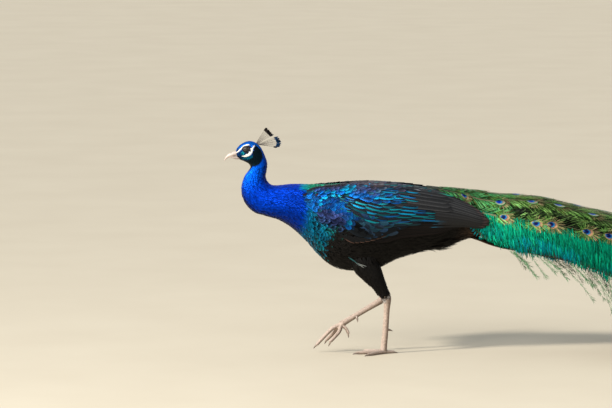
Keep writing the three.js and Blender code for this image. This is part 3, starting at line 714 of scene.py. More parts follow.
# Neck: silky blue hackles, each a narrow vane, that lie so close that only their tips show. They
# pass over the breast's front and round the neck's root.
rng = np.random.default_rng(11)
chance = rng
station, angle = body_rows(6.0, 15.9, 0.0052, 0.0052, 0, 180)
keep = station < 15.15 + 0.6 * np.sin(np.abs(angle)) + rng.normal(0, 0.1, len(station))
station, angle = station[keep], angle[keep]
grown = ease(station, 6, 12)
hackles = lay_feathers(
    on_body, station, angle,
    length=0.014 + 0.014 * grown + rng.normal(0, 0.001, len(station)),
    width=0.0065 + 0.0035 * grown, depth=0.0022 + 0.002 * grown,
    lift=0.0003 + 0.0004 * rng.random(len(station)),
    turn=rng.normal(0, 0.09, len(station)), rows=5, cols=4, cup=0.1,
)
colour = marking(hackles["u"][:, -1:, :1], hackles["v"][:, -1:, :1]) + 0 * hackles["points"]
colour = colour * (0.72 + 0.5 * rng.random((len(station), 1, 1, 1)))
lit = ease(hackles["run"], 0.55, 0.95) * (1 - np.abs(hackles["wide"]) * 0.3)
hackles["colour"] = colour * (0.45 + 0.85 * lit[..., None])
hackles["spot"] = body_spots(station, angle)
neck_look = feather_look("neck_feather", metal=0.65, rough=0.38, barbs=18, contrast=0.1, shine=0.04)
feather_piece("coat_neck", [hackles], neck_look)

# Head: tiny flat feathers, shorter than a grain of rice, that shrink towards the bill and leave the
# two stripes of the face bare. The crown's are metallic blue and the cheek's nearly black.
rng = np.random.default_rng(12)
chance = rng
station, angle = body_rows(0.15, 6.6, 0.0023, 0.0023, 0, 180)
root = on_body(station, angle, np.zeros_like(angle))
size = 0.0042 + 0.0048 * ease(station, 0.5, 6)
tip = on_body(station + 0.25, angle, np.zeros_like(angle))
eye_gap = np.hypot(root[:, 0] - EYE_CENTRE[0], root[:, 2] - EYE_CENTRE[2])
clear = (bare_face(root) < 0.0002) & (bare_face(tip) < 0.0006) & (eye_gap > 0.0068)
clear &= (root[:, 0] > -0.3855) | (root[:, 2] > 0.532)
station, angle, size, root = station[clear], angle[clear], size[clear], root[clear]
scales = lay_feathers(
    on_body, station, angle, length=size + rng.normal(0, 0.0004, len(size)), width=0.55 * size,
    depth=0.0009, lift=0.0002 + 0.0003 * rng.random(len(size)),
    turn=rng.normal(0, 0.14, len(size)), rows=4, cols=4, cup=0.08,
)
colour = marking(scales["u"][:, -1, 1], scales["v"][:, -1, 1])
lore = ease(-root[:, 0], 0.352, 0.358) * (bare_face(root) > -0.009) * (root[:, 2] < 0.535)
colour = blend(colour, (0.003, 0.020, 0.06), 0.9 * lore)
socket = np.hypot((root[:, 0] - EYE_CENTRE[0]) / 1.15, root[:, 2] - EYE_CENTRE[2])
colour = blend(colour, LID_DARK, ease(-socket, -0.0118, -0.0100))
teal_spot = np.hypot(root[:, 0] + 0.3700, root[:, 2] - 0.5255)
colour = blend(colour, (0.003, 0.20, 0.24), 0.9 * ease(-teal_spot, -0.0050, -0.0036))
under_stripe = stripe_depth(root + [0.002, 0, 0.0058], CHEEK_STRIPE) * (root[:, 0] < -0.344)
colour = blend(colour, LORE_TEAL, 0.8 * (under_stripe > 0.0003))
colour = colour[:, None, None] * (0.7 + 0.6 * rng.random((len(size), 1, 1, 1)))
scales["colour"] = colour * (0.5 + 0.7 * ease(scales["run"], 0.3, 0.9)[..., None])
scales["spot"] = body_spots(station, angle)
head_look = feather_look(
    "head_feather", metal=0.6, rough=0.36, barbs=26, contrast=0.08, shine=0.06, depth=0.0001
)
feather_piece("coat_head", [scales], head_look)

# Breast: scale-shaped feathers with a dark middle and a bright teal edge, in broken rows. They
# reach over the folded wing's front and turn violet-grey there, and the blue neck overlaps them.
rng = np.random.default_rng(13)
chance = rng
station, angle = body_rows(15.2, 18.4, 0.0085, 0.0095, 22, 180)
down = np.abs(np.degrees(angle))
rear = 17.9 - 0.9 * ease(down, 95, 125) + 0.35 * ease(down, 150, 175)
keep = (station < rear + rng.normal(0, 0.18, len(station))) & (down > 66 - 20 * ease(-station, -15.6, -15.2))
station, angle, down = station[keep], angle[keep], down[keep]
over_wing = ease(-down, -96, -84) * ease(station, 15.7, 16.2)
plates = lay_feathers(
    on_body, station, angle, length=0.025 + rng.normal(0, 0.0015, len(station)), width=0.0145,
    depth=0.006 - 0.003 * over_wing, lift=0.0006 + 0.0012 * rng.random(len(station)) + 0.0085 * over_wing,
    turn=rng.normal(0.0, 0.16, len(station)) - 0.25 * np.sign(angle), rows=7, cols=5, cup=0.1,
)
base = marking(plates["u"][:, -2, 2], plates["v"][:, -2, 2])
violet = ease(-down, -100, -86) * ease(station, 15.8, 16.3)
base = blend(base, (0.022, 0.032, 0.11), 0.85 * violet)
greener = 0.5 * rng.random(len(station)) * (1 - violet) * ease(station, 15.8, 16.5)
base = blend(base, (0.002, 0.16, 0.13), greener)
base = base[:, None, None] * (0.5 + 1.0 * rng.random((len(station), 1, 1, 1)))
edge = np.maximum(ease(np.abs(plates["wide"]), 0.55, 0.95), ease(plates["run"], 0.74, 0.93))
plates["colour"] = base * (0.18 + 1.25 * edge[..., None])
plates["spot"] = body_spots(station, angle)
breast_look = feather_look("breast_feather", metal=0.5, rough=0.4, barbs=14, contrast=0.14)
feather_piece("coat_breast", [plates], breast_look)

# Back: short round scale feathers between the wings, green with a dark rim, then bronze.
rng = np.random.default_rng(14)
chance = rng
station, angle = body_rows(15.0, 22.6, 0.0085, 0.0105, 0, 44)
scales = lay_feathers(
    on_body, station, angle, length=0.022, width=0.0165, depth=0.005,
    lift=0.0006 + 0.0008 * rng.random(len(station)), turn=rng.normal(0, 0.07, len(station)),
    rows=7, cols=5, cup=0.08,
)
base = marking(scales["u"][:, -2, 2], scales["v"][:, -2, 2])
base = base[:, None, None] * (0.45 + 1.1 * rng.random((len(station), 1, 1, 1)))
middle = ease(-np.hypot(scales["wide"] * 0.8, (scales["run"] - 0.72) * 3.0), -0.75, -0.25)[..., None]
rim = np.maximum(ease(np.abs(scales["wide"]), 0.78, 0.99), ease(scales["run"], 0.90, 1.0))[..., None]
scales["colour"] = base * (0.70 + 0.70 * middle) * (1 - 0.6 * rim)
scales["spot"] = body_spots(station, angle)
back_look = feather_look("back_feather", metal=0.5, rough=0.36, barbs=16, contrast=0.12)
feather_piece("coat_back", [scales], back_look)

# Belly, flanks and vent: soft loose black feathers. Each is a tuft of fine strands that part at the
# tip, so that the lower outline is ragged. Towards the vent they turn brown.
VENT_BROWN = (0.045, 0.026, 0.016)


def tufts(surface, u, v, length, width, depth, lift, strands, rng, turn=0.0, fan=0.35, bow=0.12, rows=4):
    """Fine strands that fan out from each root along the surface."""
    count = len(u)
    spread = np.linspace(-1, 1, strands)[None] + rng.normal(0, 0.18, (count, strands))
    repeat = lambda x: np.repeat(np.broadcast_to(np.asarray(x, float), (count,)), strands)
    return lay_feathers(
        surface, repeat(u), repeat(v),
        length=repeat(length) * (1 - 0.22 * np.abs(spread.ravel()) + rng.normal(0, 0.1, count * strands)),
        width=repeat(width), depth=repeat(depth),
        lift=repeat(lift) + 0.0012 * rng.random(count * strands),
        outline=pointed, turn=repeat(turn) + fan * spread.ravel(), rows=rows, cols=2, cup=0.0,
        bow=bow * rng.normal(0, 1, count * strands),
    )


rng = np.random.default_rng(15)
chance = rng
station, angle = body_rows(16.9, 25.9, 0.0085, 0.0088, 60, 180)
down = np.abs(np.degrees(angle))
keep = station > 17.3 - 0.5 * ease(down, 95, 130) + rng.normal(0, 0.15, len(station))
keep &= ~((down < 88) & (station > 18.2) & (station < 22))
station, angle, down = station[keep], angle[keep], down[keep]
loose = ease(station, 18.5, 22) * ease(-station, -24.4, -22.8) * ease(down, 120, 165)
hanging = ease(station, 21.9, 22.3) * ease(-station, -23.1, -22.6) * ease(down, 115, 160)
fluff = tufts(
    on_body, station, angle, length=0.030 + 0.012 * ease(station, 18, 22) + 0.010 * hanging,
    width=0.0030, depth=0.005, strands=7, rng=rng,
    lift=0.0008 + (0.0044 * loose + 0.010 * hanging) * rng.random(len(station)),
    turn=rng.normal(0, 0.14, len(station)),
)
strands = len(fluff["run"]) // len(station)
brown = np.repeat(ease(station, 22.8, 24.5), strands)
base = blend(BELLY_BLACK, VENT_BROWN, brown)
base = base[:, None, None] * (0.7 + 0.9 * rng.random((len(base), 1, 1, 1)) ** 2)
fluff["colour"] = base * (0.7 + 0.5 * fluff["run"][..., None])
fluff["spot"] = np.repeat(body_spots(station, angle), strands, 0)
belly_look = feather_look("belly_feather", metal=0.0, rough=0.62, barbs=10, contrast=0.1, shine=0.12)
feather_piece("coat_belly", [fluff], belly_look)

# Thighs: the same soft feathers, lying down the leg and ending at the ankle in a ring of greyish
# white tips.
THIGHS = {
    -1: np.array([
        [-0.054, -0.036, 0.272, 0.042, 0.026], [-0.049, -0.036, 0.244, 0.037, 0.025],
        [-0.031, -0.032, 0.212, 0.0265, 0.020], [-0.015, -0.025, 0.187, 0.0185, 0.016],
        [-0.003, -0.0185, 0.166, 0.0135, 0.012], [0.004, -0.015, 0.153, 0.0115, 0.0095],
        [0.008, -0.0128, 0.140, 0.0102, 0.0082],
    ]),
    1: np.array([
        [-0.050, 0.036, 0.268, 0.038, 0.026], [-0.046, 0.037, 0.242, 0.033, 0.024],
        [-0.033, 0.037, 0.212, 0.024, 0.020], [-0.020, 0.036, 0.187, 0.0175, 0.015],
        [-0.008, 0.034, 0.164, 0.0135, 0.012], [-0.001, 0.033, 0.149, 0.0105, 0.009],
        [-0.006, 0.032, 0.137, 0.0094, 0.0076],
    ]),
}


def on_limb(stops):
    """The outline surface of a limb: u counts its stops and v is the angle round it."""

    def surface(u, v, out):
        x, y, z, deep, half = np.moveaxis(curve_through(stops, u), -1, 0)
        onward = unit(curve_through(stops, u + 0.01)[..., :3] - curve_through(stops, u - 0.01)[..., :3])
        up = unit(np.cross([0, 1, 0], onward))
        across = np.cross(onward, up)
        return (
            np.stack([x, y, z], -1)
            + up * ((deep + out) * np.cos(v))[..., None]
            + across * ((half + out) * np.sin(v))[..., None]
        )

    return surface


def limb_rows(surface, first, last, gap, across_gap, girth, rng):
    """Staggered roots round a limb."""
    found = []
    u, row = first, 0
    while u < last:
        count = max(int(girth(u) / across_gap), 5)
        v = (np.arange(count) + 0.5 * (row % 2)) / count * math.tau + rng.normal(0, 0.08, count)
        found.append(np.stack([u + rng.normal(0, 0.03, count), v], 1))
        ahead = surface(np.array([u, u + 0.01]), np.zeros(2), np.zeros(2))
        u += 0.01 * gap / max(np.linalg.norm(ahead[1] - ahead[0]), 1e-5)
        row += 1
    return np.concatenate(found).T


rng = np.random.default_rng(16)
for side, word in ((-1, "left"), (1, "right")):
    stops = THIGHS[side]
    surface = on_limb(stops)
    girth = lambda u: math.tau * float(curve_through(stops, np.array(u))[3:].mean())
    u, v = limb_rows(surface, 0.1, 5.45, 0.0060, 0.0060, girth, rng)
    ragged = u < 5.5 - 0.45 * (1 - np.cos(v)) + rng.normal(0, 0.15, len(u))
    u, v = u[ragged], v[ragged]
    low = ease(u, 2.6, 4.6)
    plume = tufts(
        surface, u, v, length=0.030 - 0.016 * low, width=0.0028 - 0.001 * low, depth=0.0045 - 0.0025 * low,
        lift=0.0006 + (0.0016 + 0.0016 * low) * rng.random(len(u)), strands=6, rng=rng,
        turn=rng.normal(0, 0.12 + 0.1 * low, len(u)),
        fan=0.28,
    )
    strands = len(plume["run"]) // len(u)
    pale_tip = np.repeat(ease(u, 4.35, 4.75) * (rng.random(len(u)) < 0.7), strands)[:, None, None]
    base = BELLY_BLACK * (0.7 + 0.9 * rng.random((len(pale_tip), 1, 1, 1)) ** 2)
    base = base * (0.7 + 0.5 * plume["run"][..., None])
    plume["colour"] = blend(base, (0.42, 0.38, 0.34), pale_tip * ease(plume["run"], 0.35, 0.8))
    spot = np.stack([0.02 + 0.04 * (side > 0) + u * 0.006, v / math.tau * 0.1], -1)
    plume["spot"] = np.repeat(spot, strands, 0)

    # A short line of greyish feathers slopes over the top of the thigh.
    beside = lambda u, v, out: np.stack([u, side * (0.0672 + out), -v], -1)
    step = np.linspace(0, 0.036, 8)
    pale = lay_feathers(
        beside, -0.093 + 0.845 * step, -0.260 + 0.534 * step + rng.normal(0, 0.0018, 8),
        length=0.017, width=0.0017, depth=0.0045, lift=0.0002 + 0.001 * rng.random(8), outline=pointed,
        turn=side * (math.radians(32) + rng.normal(0, 0.16, 8)), rows=5, cols=3, cup=0.0,
    )
    tone = blend((0.010, 0.060, 0.060), (0.20, 0.20, 0.18), ease(step, 0.010, 0.022) * rng.random(8) ** 0.5)
    pale["colour"] = tone[:, None, None] + 0 * pale["points"]
    pale["spot"] = np.stack([0.02 + 0.04 * (side > 0) + step * 0, 0.11 + step], -1)
    feather_piece(f"coat_thigh_{word}", [plume, pale], belly_look)

# Wings: folded against the sides. The rows of feathers lie like tiles, from the small coverts at
# the shoulder to the long quills behind, and in the bundle of quills each lies over the next lower.
WING = np.array([
    # body station, upper and lower edge in degrees down from the back line, thickness in metres
    [15.25, 26, 76, 0.0045], [15.6, 26, 76, 0.0105], [16.1, 24, 77, 0.0143], [17, 18, 80, 0.015],
    [18, 14, 84, 0.015], [19, 13, 95, 0.015], [20, 14, 103, 0.0143], [21, 16, 106, 0.0135],
    [23, 24, 111, 0.0143], [24, 34, 113, 0.0165], [25, 46, 112, 0.024], [25.75, 60, 104, 0.0285],
])
wing_run = np.linspace(0, len(WING) - 1, 111)
wing_middle = curve_through(WING, wing_run)
wing_x = on_body(wing_middle[:, 0], np.full(111, math.radians(60)), np.zeros(111))[:, 0]


def on_wing(side):
    """The outline surface of a folded wing: u is the distance along the bird, and v goes from its
    upper edge (0) to its lower edge (1)."""

    def surface(u, v, out):
        at = np.interp(u, wing_x, wing_run) + (u - np.clip(u, wing_x[0], wing_x[-1])) * 22
        station, upper, lower, thick = np.moveaxis(curve_through(WING, at), -1, 0)
        angle = np.radians(upper + (lower - upper) * v)
        swell = 0.25 + 0.75 * np.sin(math.pi * (0.08 + 0.84 * np.clip(v, 0, 1))) ** 0.6
        swell = swell * (0.6 + 0.4 * ease(v, -0.05, 0.2))
        return on_body(station, side * angle, thick * swell + out)

    return surface


WING_BLUE = np.array([0.001, 0.095, 0.36])
WING_CYAN = np.array([0.001, 0.25, 0.44])
WING_TEAL = np.array([0.002, 0.19, 0.20])
WING_VIOLET = np.array([0.050, 0.052, 0.115])
WING_DARK = np.array([0.008, 0.010, 0.014])
WING_SLATE = np.array([0.018, 0.034, 0.044])
SHOULDER_BROWN = np.array([0.085, 0.062, 0.074])
QUILL_DARK = np.array([0.0072, 0.0070, 0.0072])
QUILL_EDGE = np.array([0.070, 0.070, 0.070])
QUILL_TIP = np.array([0.10, 0.058, 0.050])
FRONT_BROWN = np.array([0.030, 0.018, 0.025])


def nose_half(u):
    """Half the height of the wing's rounded front, at a distance along the bird."""
    short = np.maximum(wing_x[25] - u, 0) / (wing_x[25] - wing_x[0])
    return 0.56 * np.sqrt(np.clip(1 - short**2, 0.01, 1))


def wing_rows(first, last, gap, v_gap, top, bottom, rng):
    """Staggered roots on a wing, between two distances along the bird and two heights. The wing's
    front is rounded, so the first rows are short."""
    found = []
    for row, u in enumerate(np.arange(first, last, gap)):
        v = np.arange(top + 0.5 * v_gap * (row % 2), bottom, v_gap)
        v = v[np.abs(v - 0.55) < nose_half(u) + 0.5 * (u > wing_x[25])]
        place = np.stack([u + 0 * v, v], 1)
        found.append(place + rng.normal(0, 1, place.shape) * [0.18 * gap, 0.12 * v_gap])
    return np.concatenate(found).T


wing_look = feather_look("wing_covert_feather", metal=0.5, rough=0.36, barbs=14, contrast=0.14)
quill_look = feather_look(
    "flight_feather", metal=0.0, rough=0.46, barbs=12, contrast=0.2, slope=0.6, shine=0.2
)
low_quill_look = feather_look(
    "low_flight_feather", metal=0.0, rough=0.6, barbs=12, contrast=0.2, slope=0.6, shine=0.08
)


def wing_spot(u, v, side):
    """Roots on the unwrap of the wing."""
    return np.stack([0.35 + 0.5 * (u + 0.22), 0.02 + 0.2 * (side > 0) + 0.17 * v], -1)


for side, word in ((-1, "left"), (1, "right")):
    rng = np.random.default_rng(20 + side)
    surface = on_wing(side)
    lots = []

    # Lesser coverts: small, blue, teal and violet, brown along the wing's leading edge.
    u, v = wing_rows(-0.214, -0.045, 0.0082, 0.085, 0.0, 1.0, rng)
    banded = (v > 0.44) & (v < 0.70)
    u, v = u[~banded | (u < -0.122)], v[~banded | (u < -0.122)]
    grown = ease(u, -0.21, -0.06)
    lot = lay_feathers(
        surface, u, v, length=0.022 + 0.012 * grown, width=0.0105 + 0.005 * grown, depth=0.0035,
        lift=0.0005 + 0.001 * rng.random(len(u)), turn=rng.normal(0, 0.1, len(u)), cup=0.08,
    )
    pick = rng.random(len(u)) + 0.25 * np.sin(60 * u + 9 * v)
    base = blend(WING_BLUE, WING_CYAN, 0.8 * (pick > 0.85))
    base = blend(base, WING_TEAL, 0.8 * ((pick > 0.42) & (pick < 0.50)))
    base = blend(base, WING_VIOLET, 0.85 * ease(-v, -0.42, -0.26) * (pick < 0.86))
    base = blend(base, SHOULDER_BROWN, 0.55 * ease(-v, -0.24, -0.10) * (pick < 0.7))
    base = blend(base, (0.001, 0.030, 0.17), 0.8 * ease(v, 0.40, 0.55) * (rng.random(len(u)) < 0.4))
    low_violet = ease(v, 0.79, 0.86) * ease(-u, 0.105, 0.13) * ease(u, -0.195, -0.17) * (pick < 0.85)
    base = blend(base, (0.032, 0.040, 0.13), 0.9 * low_violet)
    shoulder_mark = np.hypot((u + 0.118) / 0.016, (v - 0.24) / 0.09)
    upper_mark = np.hypot((u + 0.078) / 0.012, (v - 0.15) / 0.06)
    base = blend(base, WING_CYAN, 0.9 * ease(-np.minimum(upper_mark, shoulder_mark), -1.1, -0.8))
    base = blend(base, FRONT_BROWN, 0.9 * ease(-v, -0.25, -0.17) * ease(-u, 0.11, 0.14))
    base = blend(base, BACK_GREEN, 0.8 * ease(-v, -0.09, -0.04) * ease(-u, 0.13, 0.17))
    base = blend(base, WING_SLATE, 0.9 * ease(v, 0.66, 0.80) * ease(u, -0.11, -0.075))
    # Painted shade: above the wing's lower edge the lesser coverts are darkened almost to black.
    below = ease(v, 0.78, 0.88) * ease(u, -0.115, -0.095) * ease(-u, 0.05, 0.065)
    base = blend(base, WING_DARK * 0.4, below)
    front = ease(0.55 - v - nose_half(u), -0.10, -0.03)
    base = blend(base, FRONT_BROWN, front * ease(-u, 0.06, 0.10))
    base = base[:, None, None] * (0.35 + 1.1 * rng.random((len(u), 1, 1, 1)))
    edge = np.maximum(ease(lot["wide"] * side, 0.0, 0.9), ease(lot["run"], 0.7, 0.97))
    plain = np.maximum(ease(-v, -0.10, -0.03), 0.7 * ease(v, 0.66, 0.80) * ease(u, -0.11, -0.075))
    edge = np.maximum(edge, plain[:, None, None])[..., None]
    lot["colour"] = base * (0.30 + 0.95 * edge)
    lot["spot"] = wing_spot(u, v, side)
    lots.append(lot)

    # Median coverts, and the scapulars that roof the wing's upper edge with pale glints.
    u, v = wing_rows(-0.075, 0.01, 0.0125, 0.105, 0.0, 0.98, rng)
    banded = (v > 0.44) & (v < 0.70)
    u, v = u[~banded], v[~banded]
    roof = ease(-v, -0.34, -0.22)
    lot = lay_feathers(
        surface, u, v, length=0.042 + 0.010 * roof, width=0.0150 + 0.005 * roof, depth=0.003,
        lift=0.0006 + 0.001 * rng.random(len(u)), rows=7, cup=0.08, tilt=0.05 * side,
        turn=side * 0.10 * (1 - roof) + rng.normal(0, 0.07, len(u)),
    )
    pick = rng.random(len(u))
    low_edge = lot["wide"] * side
    base = blend(WING_BLUE, WING_CYAN, 0.8 * (pick > 0.72))
    base = blend(base, WING_VIOLET, 0.7 * ((pick > 0.2) & (pick < 0.38)))
    base = blend(base, SHOULDER_BROWN, 0.75 * roof)
    base = blend(base, WING_SLATE, 0.85 * ease(v, 0.62, 0.74) * (1 - roof))
    base = base[:, None, None] * (0.5 + 0.9 * rng.random((len(u), 1, 1, 1)))
    edge = np.maximum(ease(low_edge, 0.35, 0.9), ease(lot["run"], 0.8, 0.97))[..., None]
    edge = np.maximum(edge, 0.6 * ease(v, 0.62, 0.74)[:, None, None, None])
    colour = blend(WING_DARK + 0 * base, base, 0.12 + 0.88 * edge[..., 0])
    # Painted highlights: pale glints at the tips of some roof feathers.
    glint = (roof * (rng.random(len(u)) < 0.3))[:, None, None] * ease(lot["run"], 0.88, 0.98)
    lot["colour"] = blend(colour, (0.22, 0.24, 0.26), glint * 0.5)
    lot["spot"] = wing_spot(u, v, side)
    lots.append(lot)

    # Scapulars: broad dark feathers along the back with turquoise edges and painted pale glints, highlights
    # towards their tips.
    u, v = wing_rows(-0.10, 0.105, 0.0155, 0.085, -0.05, 0.2, rng)
    lot = lay_feathers(
        surface, u, v, length=0.052, width=0.019, depth=0.0025, rows=8, cup=0.08,
        lift=0.0010 + 0.0012 * rng.random(len(u)), turn=rng.normal(0, 0.06, len(u)),
    )
    pick = rng.random(len(u))
    base = blend(WING_DARK * 1.6, SHOULDER_BROWN, ease(-u, 0.0, 0.06))
    base = base[:, None, None] * (0.4 + 0.8 * rng.random((len(u), 1, 1, 1))) + 0 * lot["points"]
    teal = (pick < 0.18)[:, None, None] * ease(lot["wide"] * side, 0.2, 0.7) * ease(lot["run"], 0.4, 0.7)
    base = blend(base, WING_TEAL, 0.8 * teal)
    # Painted highlights: pale glints on the upper edge towards the tip, greener along the wing's top.
    glint = ease(-lot["wide"] * side, 0.0, 0.4) * ease(lot["run"], 0.72, 0.84)
    glint = glint * ((pick > 0.45) * ease(u, -0.09, -0.05))[:, None, None]
    pale = blend((0.52, 0.52, 0.53), (0.25, 0.45, 0.28), ease(u, 0.02, 0.05) * ease(-v, -0.09, -0.05))
    lot["colour"] = blend(base, pale[:, None, None], 0.85 * glint)
    lot["spot"] = wing_spot(u, v, side)
    lots.append(lot)

    # Greater coverts: long dark feathers, each with one bright blue or turquoise edge.
    u, v = wing_rows(-0.161, 0.045, 0.029, 0.056, 0.14, 0.82, rng)
    banded = (v > 0.42) & (v < 0.72)
    u, v = u[banded | (u > -0.055)], v[banded | (u > -0.055)]
    u = u + 0.018 * (v > 0.5) - 0.05 * ease(v, 0.72, 0.8)
    grown = ease(u, -0.15, -0.09)
    lot = lay_feathers(
        surface, u, v, length=0.058 + 0.016 * grown, width=0.0100 + 0.0030 * grown, depth=0.003,
        lift=0.0004 + 0.0008 * rng.random(len(u)), rows=10, cols=6, cup=0.06, tilt=0.07 * side,
        turn=side * (0.10 - 0.10 * (v - 0.5)) + rng.normal(0, 0.03, len(u)),
    )
    low_edge = lot["wide"] * side
    streak = ease(low_edge, 0.25, 0.7) * ease(-low_edge, -1.1, -0.85) * ease(lot["run"], 0.25, 0.5)
    pick = rng.random(len(u))
    bright = blend(WING_CYAN * 1.25, WING_TEAL * 1.3, 0.8 * ((pick < 0.35) | (v > 0.62)))
    bright = blend(bright, (0.001, 0.16, 0.46), pick > 0.75)
    bright = blend(bright, WING_SLATE, 0.9 * ease(v, 0.70, 0.80))
    bright = bright[:, None, None] * (0.25 + 1.05 * rng.random((len(u), 1, 1, 1)))
    lot["colour"] = blend(WING_DARK * 1.2 + 0 * lot["points"], bright + 0 * lot["points"], streak)
    lot["spot"] = wing_spot(u, v, side)
    lots.append(lot)
    feather_piece(f"wing_{word}_covert_feathers", lots, wing_look, [f"wing_{word}_coverts"])

    # Secondaries: broad brown-black quills, each over the next lower, their tips on the wing's
    # rounded end. A few of the upper ones carry a blue edge.
    count = 15
    v = np.linspace(0.0, 0.84, count)
    tip = np.interp(v, [0, 0.12, 0.25, 0.45, 0.7, 0.84], [0.175, 0.215, 0.245, 0.270, 0.274, 0.264])
    root = -0.03 + 0.035 * v
    lot = lay_feathers(
        surface, root, v, length=tip - root, width=0.026, depth=0.0045, lift=0.0016 - 0.0010 * v,
        turn=rng.normal(0, 0.006, count), rows=18, cols=8, cup=0.03, tilt=0.07 * side,
        outline=lambda run: rounded(run, widest=0.82, root=0.5),
    )
    low_edge = lot["wide"] * side
    line = ease(low_edge, 0.62, 0.9)[..., None]
    base = QUILL_DARK * (0.75 + 0.6 * rng.random((count, 1, 1, 1))) + 0 * lot["points"]
    base = base + (QUILL_EDGE - base) * line * 0.6 * ease(-v, -0.75, -0.35)[:, None, None, None]
    worn = ease(lot["run"], 0.93, 0.99) * ease(low_edge + 0.4 * lot["run"], 0.0, 1.0)
    base = blend(base, QUILL_TIP, 0.8 * worn)
    blue = (rng.random(count) < 0.45)[:, None, None] * ease(-lot["run"], -0.55, -0.42)
    lot["colour"] = blend(base, WING_CYAN * 0.9, 0.7 * blue * ease(low_edge, 0.3, 0.8))
    lot["spot"] = wing_spot(root, v, side)
    second = lay_feathers(
        surface, np.full(7, 0.02), np.linspace(0.02, 0.5, 7), length=0.135 + 0.02 * rng.random(7),
        width=0.026, depth=0.002, lift=0.0022, rows=12, cols=7, cup=0.04, tilt=0.06 * side,
        outline=lambda run: rounded(run, widest=0.8, root=0.5),
    )
    low_edge = second["wide"] * side
    base = QUILL_DARK * (0.8 + 0.6 * rng.random((7, 1, 1, 1))) + 0 * second["points"]
    base = base + (QUILL_EDGE - base) * 0.6 * ease(low_edge, 0.6, 0.9)[..., None]
    green = (np.arange(7) == 1)[:, None, None] * ease(second["run"], 0.75, 0.9) * ease(low_edge, -0.2, 0.6)
    second["colour"] = blend(base, (0.01, 0.26, 0.17), 0.8 * green)
    second["spot"] = wing_spot(np.full(7, 0.02), np.linspace(0.02, 0.5, 7), side)
    feather_piece(
        f"wing_{word}_secondary_feathers", [lot, second], quill_look,
        [f"wing_{word}_secondaries"],
    )

    # Primaries: narrow quills under the secondaries along the wing's lower edge. Their near black is painted
    # shade under the folded wing.
    count = 9
    v = np.linspace(0.80, 1.0, count)
    tip = np.linspace(0.262, 0.19, count)
    root = np.linspace(-0.05, -0.09, count)
    lot = lay_feathers(
        surface, root, v, length=tip - root, width=0.018, depth=0.004,
        lift=0.0004 - 0.0018 * (v - 0.8) / 0.2, turn=rng.normal(0, 0.006, count),
        rows=18, cols=6, cup=0.03, tilt=0.05 * side,
        outline=lambda run: rounded(run, widest=0.75, root=0.5),
    )
    low_edge = lot["wide"] * side
    # Painted shade: the quills are painted far darker than the secondaries, and near black towards their
    # roots.
    base = QUILL_DARK * (0.35 + 0.3 * rng.random((count, 1, 1, 1))) + 0 * lot["points"]
    base = base + (QUILL_TIP * 0.2 - base) * 0.5 * ease(low_edge, 0.6, 0.9)[..., None]
    front = ease(-lot["run"], -0.35, -0.2)
    lot["colour"] = blend(base, (0.005, 0.007, 0.009), front)
    lot["spot"] = wing_spot(root, v, side)
    low_u, low_v = np.linspace(-0.12, -0.02, 6), np.linspace(0.97, 0.86, 6)
    lower = lay_feathers(
        surface, low_u, low_v, length=0.085, width=0.019, depth=0.003, lift=0.0012, rows=9, cols=6,
        cup=0.05, tilt=0.05 * side,
    )
    # Painted shade: these low feathers are painted near black.
    base = np.array([0.005, 0.007, 0.009]) * (0.7 + 0.6 * rng.random((6, 1, 1, 1))) + 0 * lower["points"]
    lower["colour"] = base * (0.7 + 0.8 * ease(lower["wide"] * side, 0.3, 0.9)[..., None])
    lower["spot"] = wing_spot(low_u, low_v, side)

    # The wing's lower edge goes straight on forwards over the flank as a thin brown rim.
    rim_u = np.linspace(-0.110, -0.035, 7)
    rim_v = np.interp(rim_u, [-0.110, -0.06, -0.02], [1.185, 1.03, 0.93])
    rim = lay_feathers(
        surface, rim_u, rim_v, length=0.046, width=0.009, depth=0.004, lift=0.002,
        turn=-side * 0.12, rows=8, cols=6, cup=0.05,
    )
    base = np.array([0.004, 0.004, 0.004]) * (0.7 + 0.6 * rng.random((7, 1, 1, 1))) + 0 * rim["points"]
    brown = ease(rim["wide"] * side, 0.5, 0.85) * ease(rim["u"], -0.099, -0.090)
    rim["colour"] = blend(base, (0.15, 0.080, 0.058), 0.8 * brown)
    rim["spot"] = wing_spot(rim_u, rim_v, side)
    feather_piece(
        f"wing_{word}_primary_feathers", [lot, lower, rim], low_quill_look,
        [f"wing_{word}_primaries"],
    )

# Tail: a fan of stiff brown quills that lies under the train and props it up.
TAIL = np.array([
    # x, height, thickness, half width, in metres
    [0.232, 0.314, 0.014, 0.022], [0.262, 0.301, 0.010, 0.036], [0.302, 0.291, 0.008, 0.052],
    [0.358, 0.283, 0.007, 0.062], [0.440, 0.269, 0.006, 0.068], [0.520, 0.254, 0.005, 0.070],
    [0.585, 0.241, 0.004, 0.058], [0.606, 0.237, 0.003, 0.034],
])
TAIL_BROWN = np.array([0.040, 0.022, 0.013])


def on_tail(u, v, out):
    """The fan's upper surface: u is the distance along the bird, v goes from edge to edge (-1, 1)."""
    at = np.interp(u, TAIL[:, 0], np.arange(len(TAIL)))
    x, z, thick, _ = np.moveaxis(curve_through(TAIL, at), -1, 0)
    half = np.interp(u, [0.21, 0.24, 0.30, 0.44, 0.62], [0.012, 0.024, 0.050, 0.066, 0.072])
    return np.stack([x + (u - np.clip(u, x.min(), 0.606)), half * v, z + out - 0.4 * thick * v**2], -1)


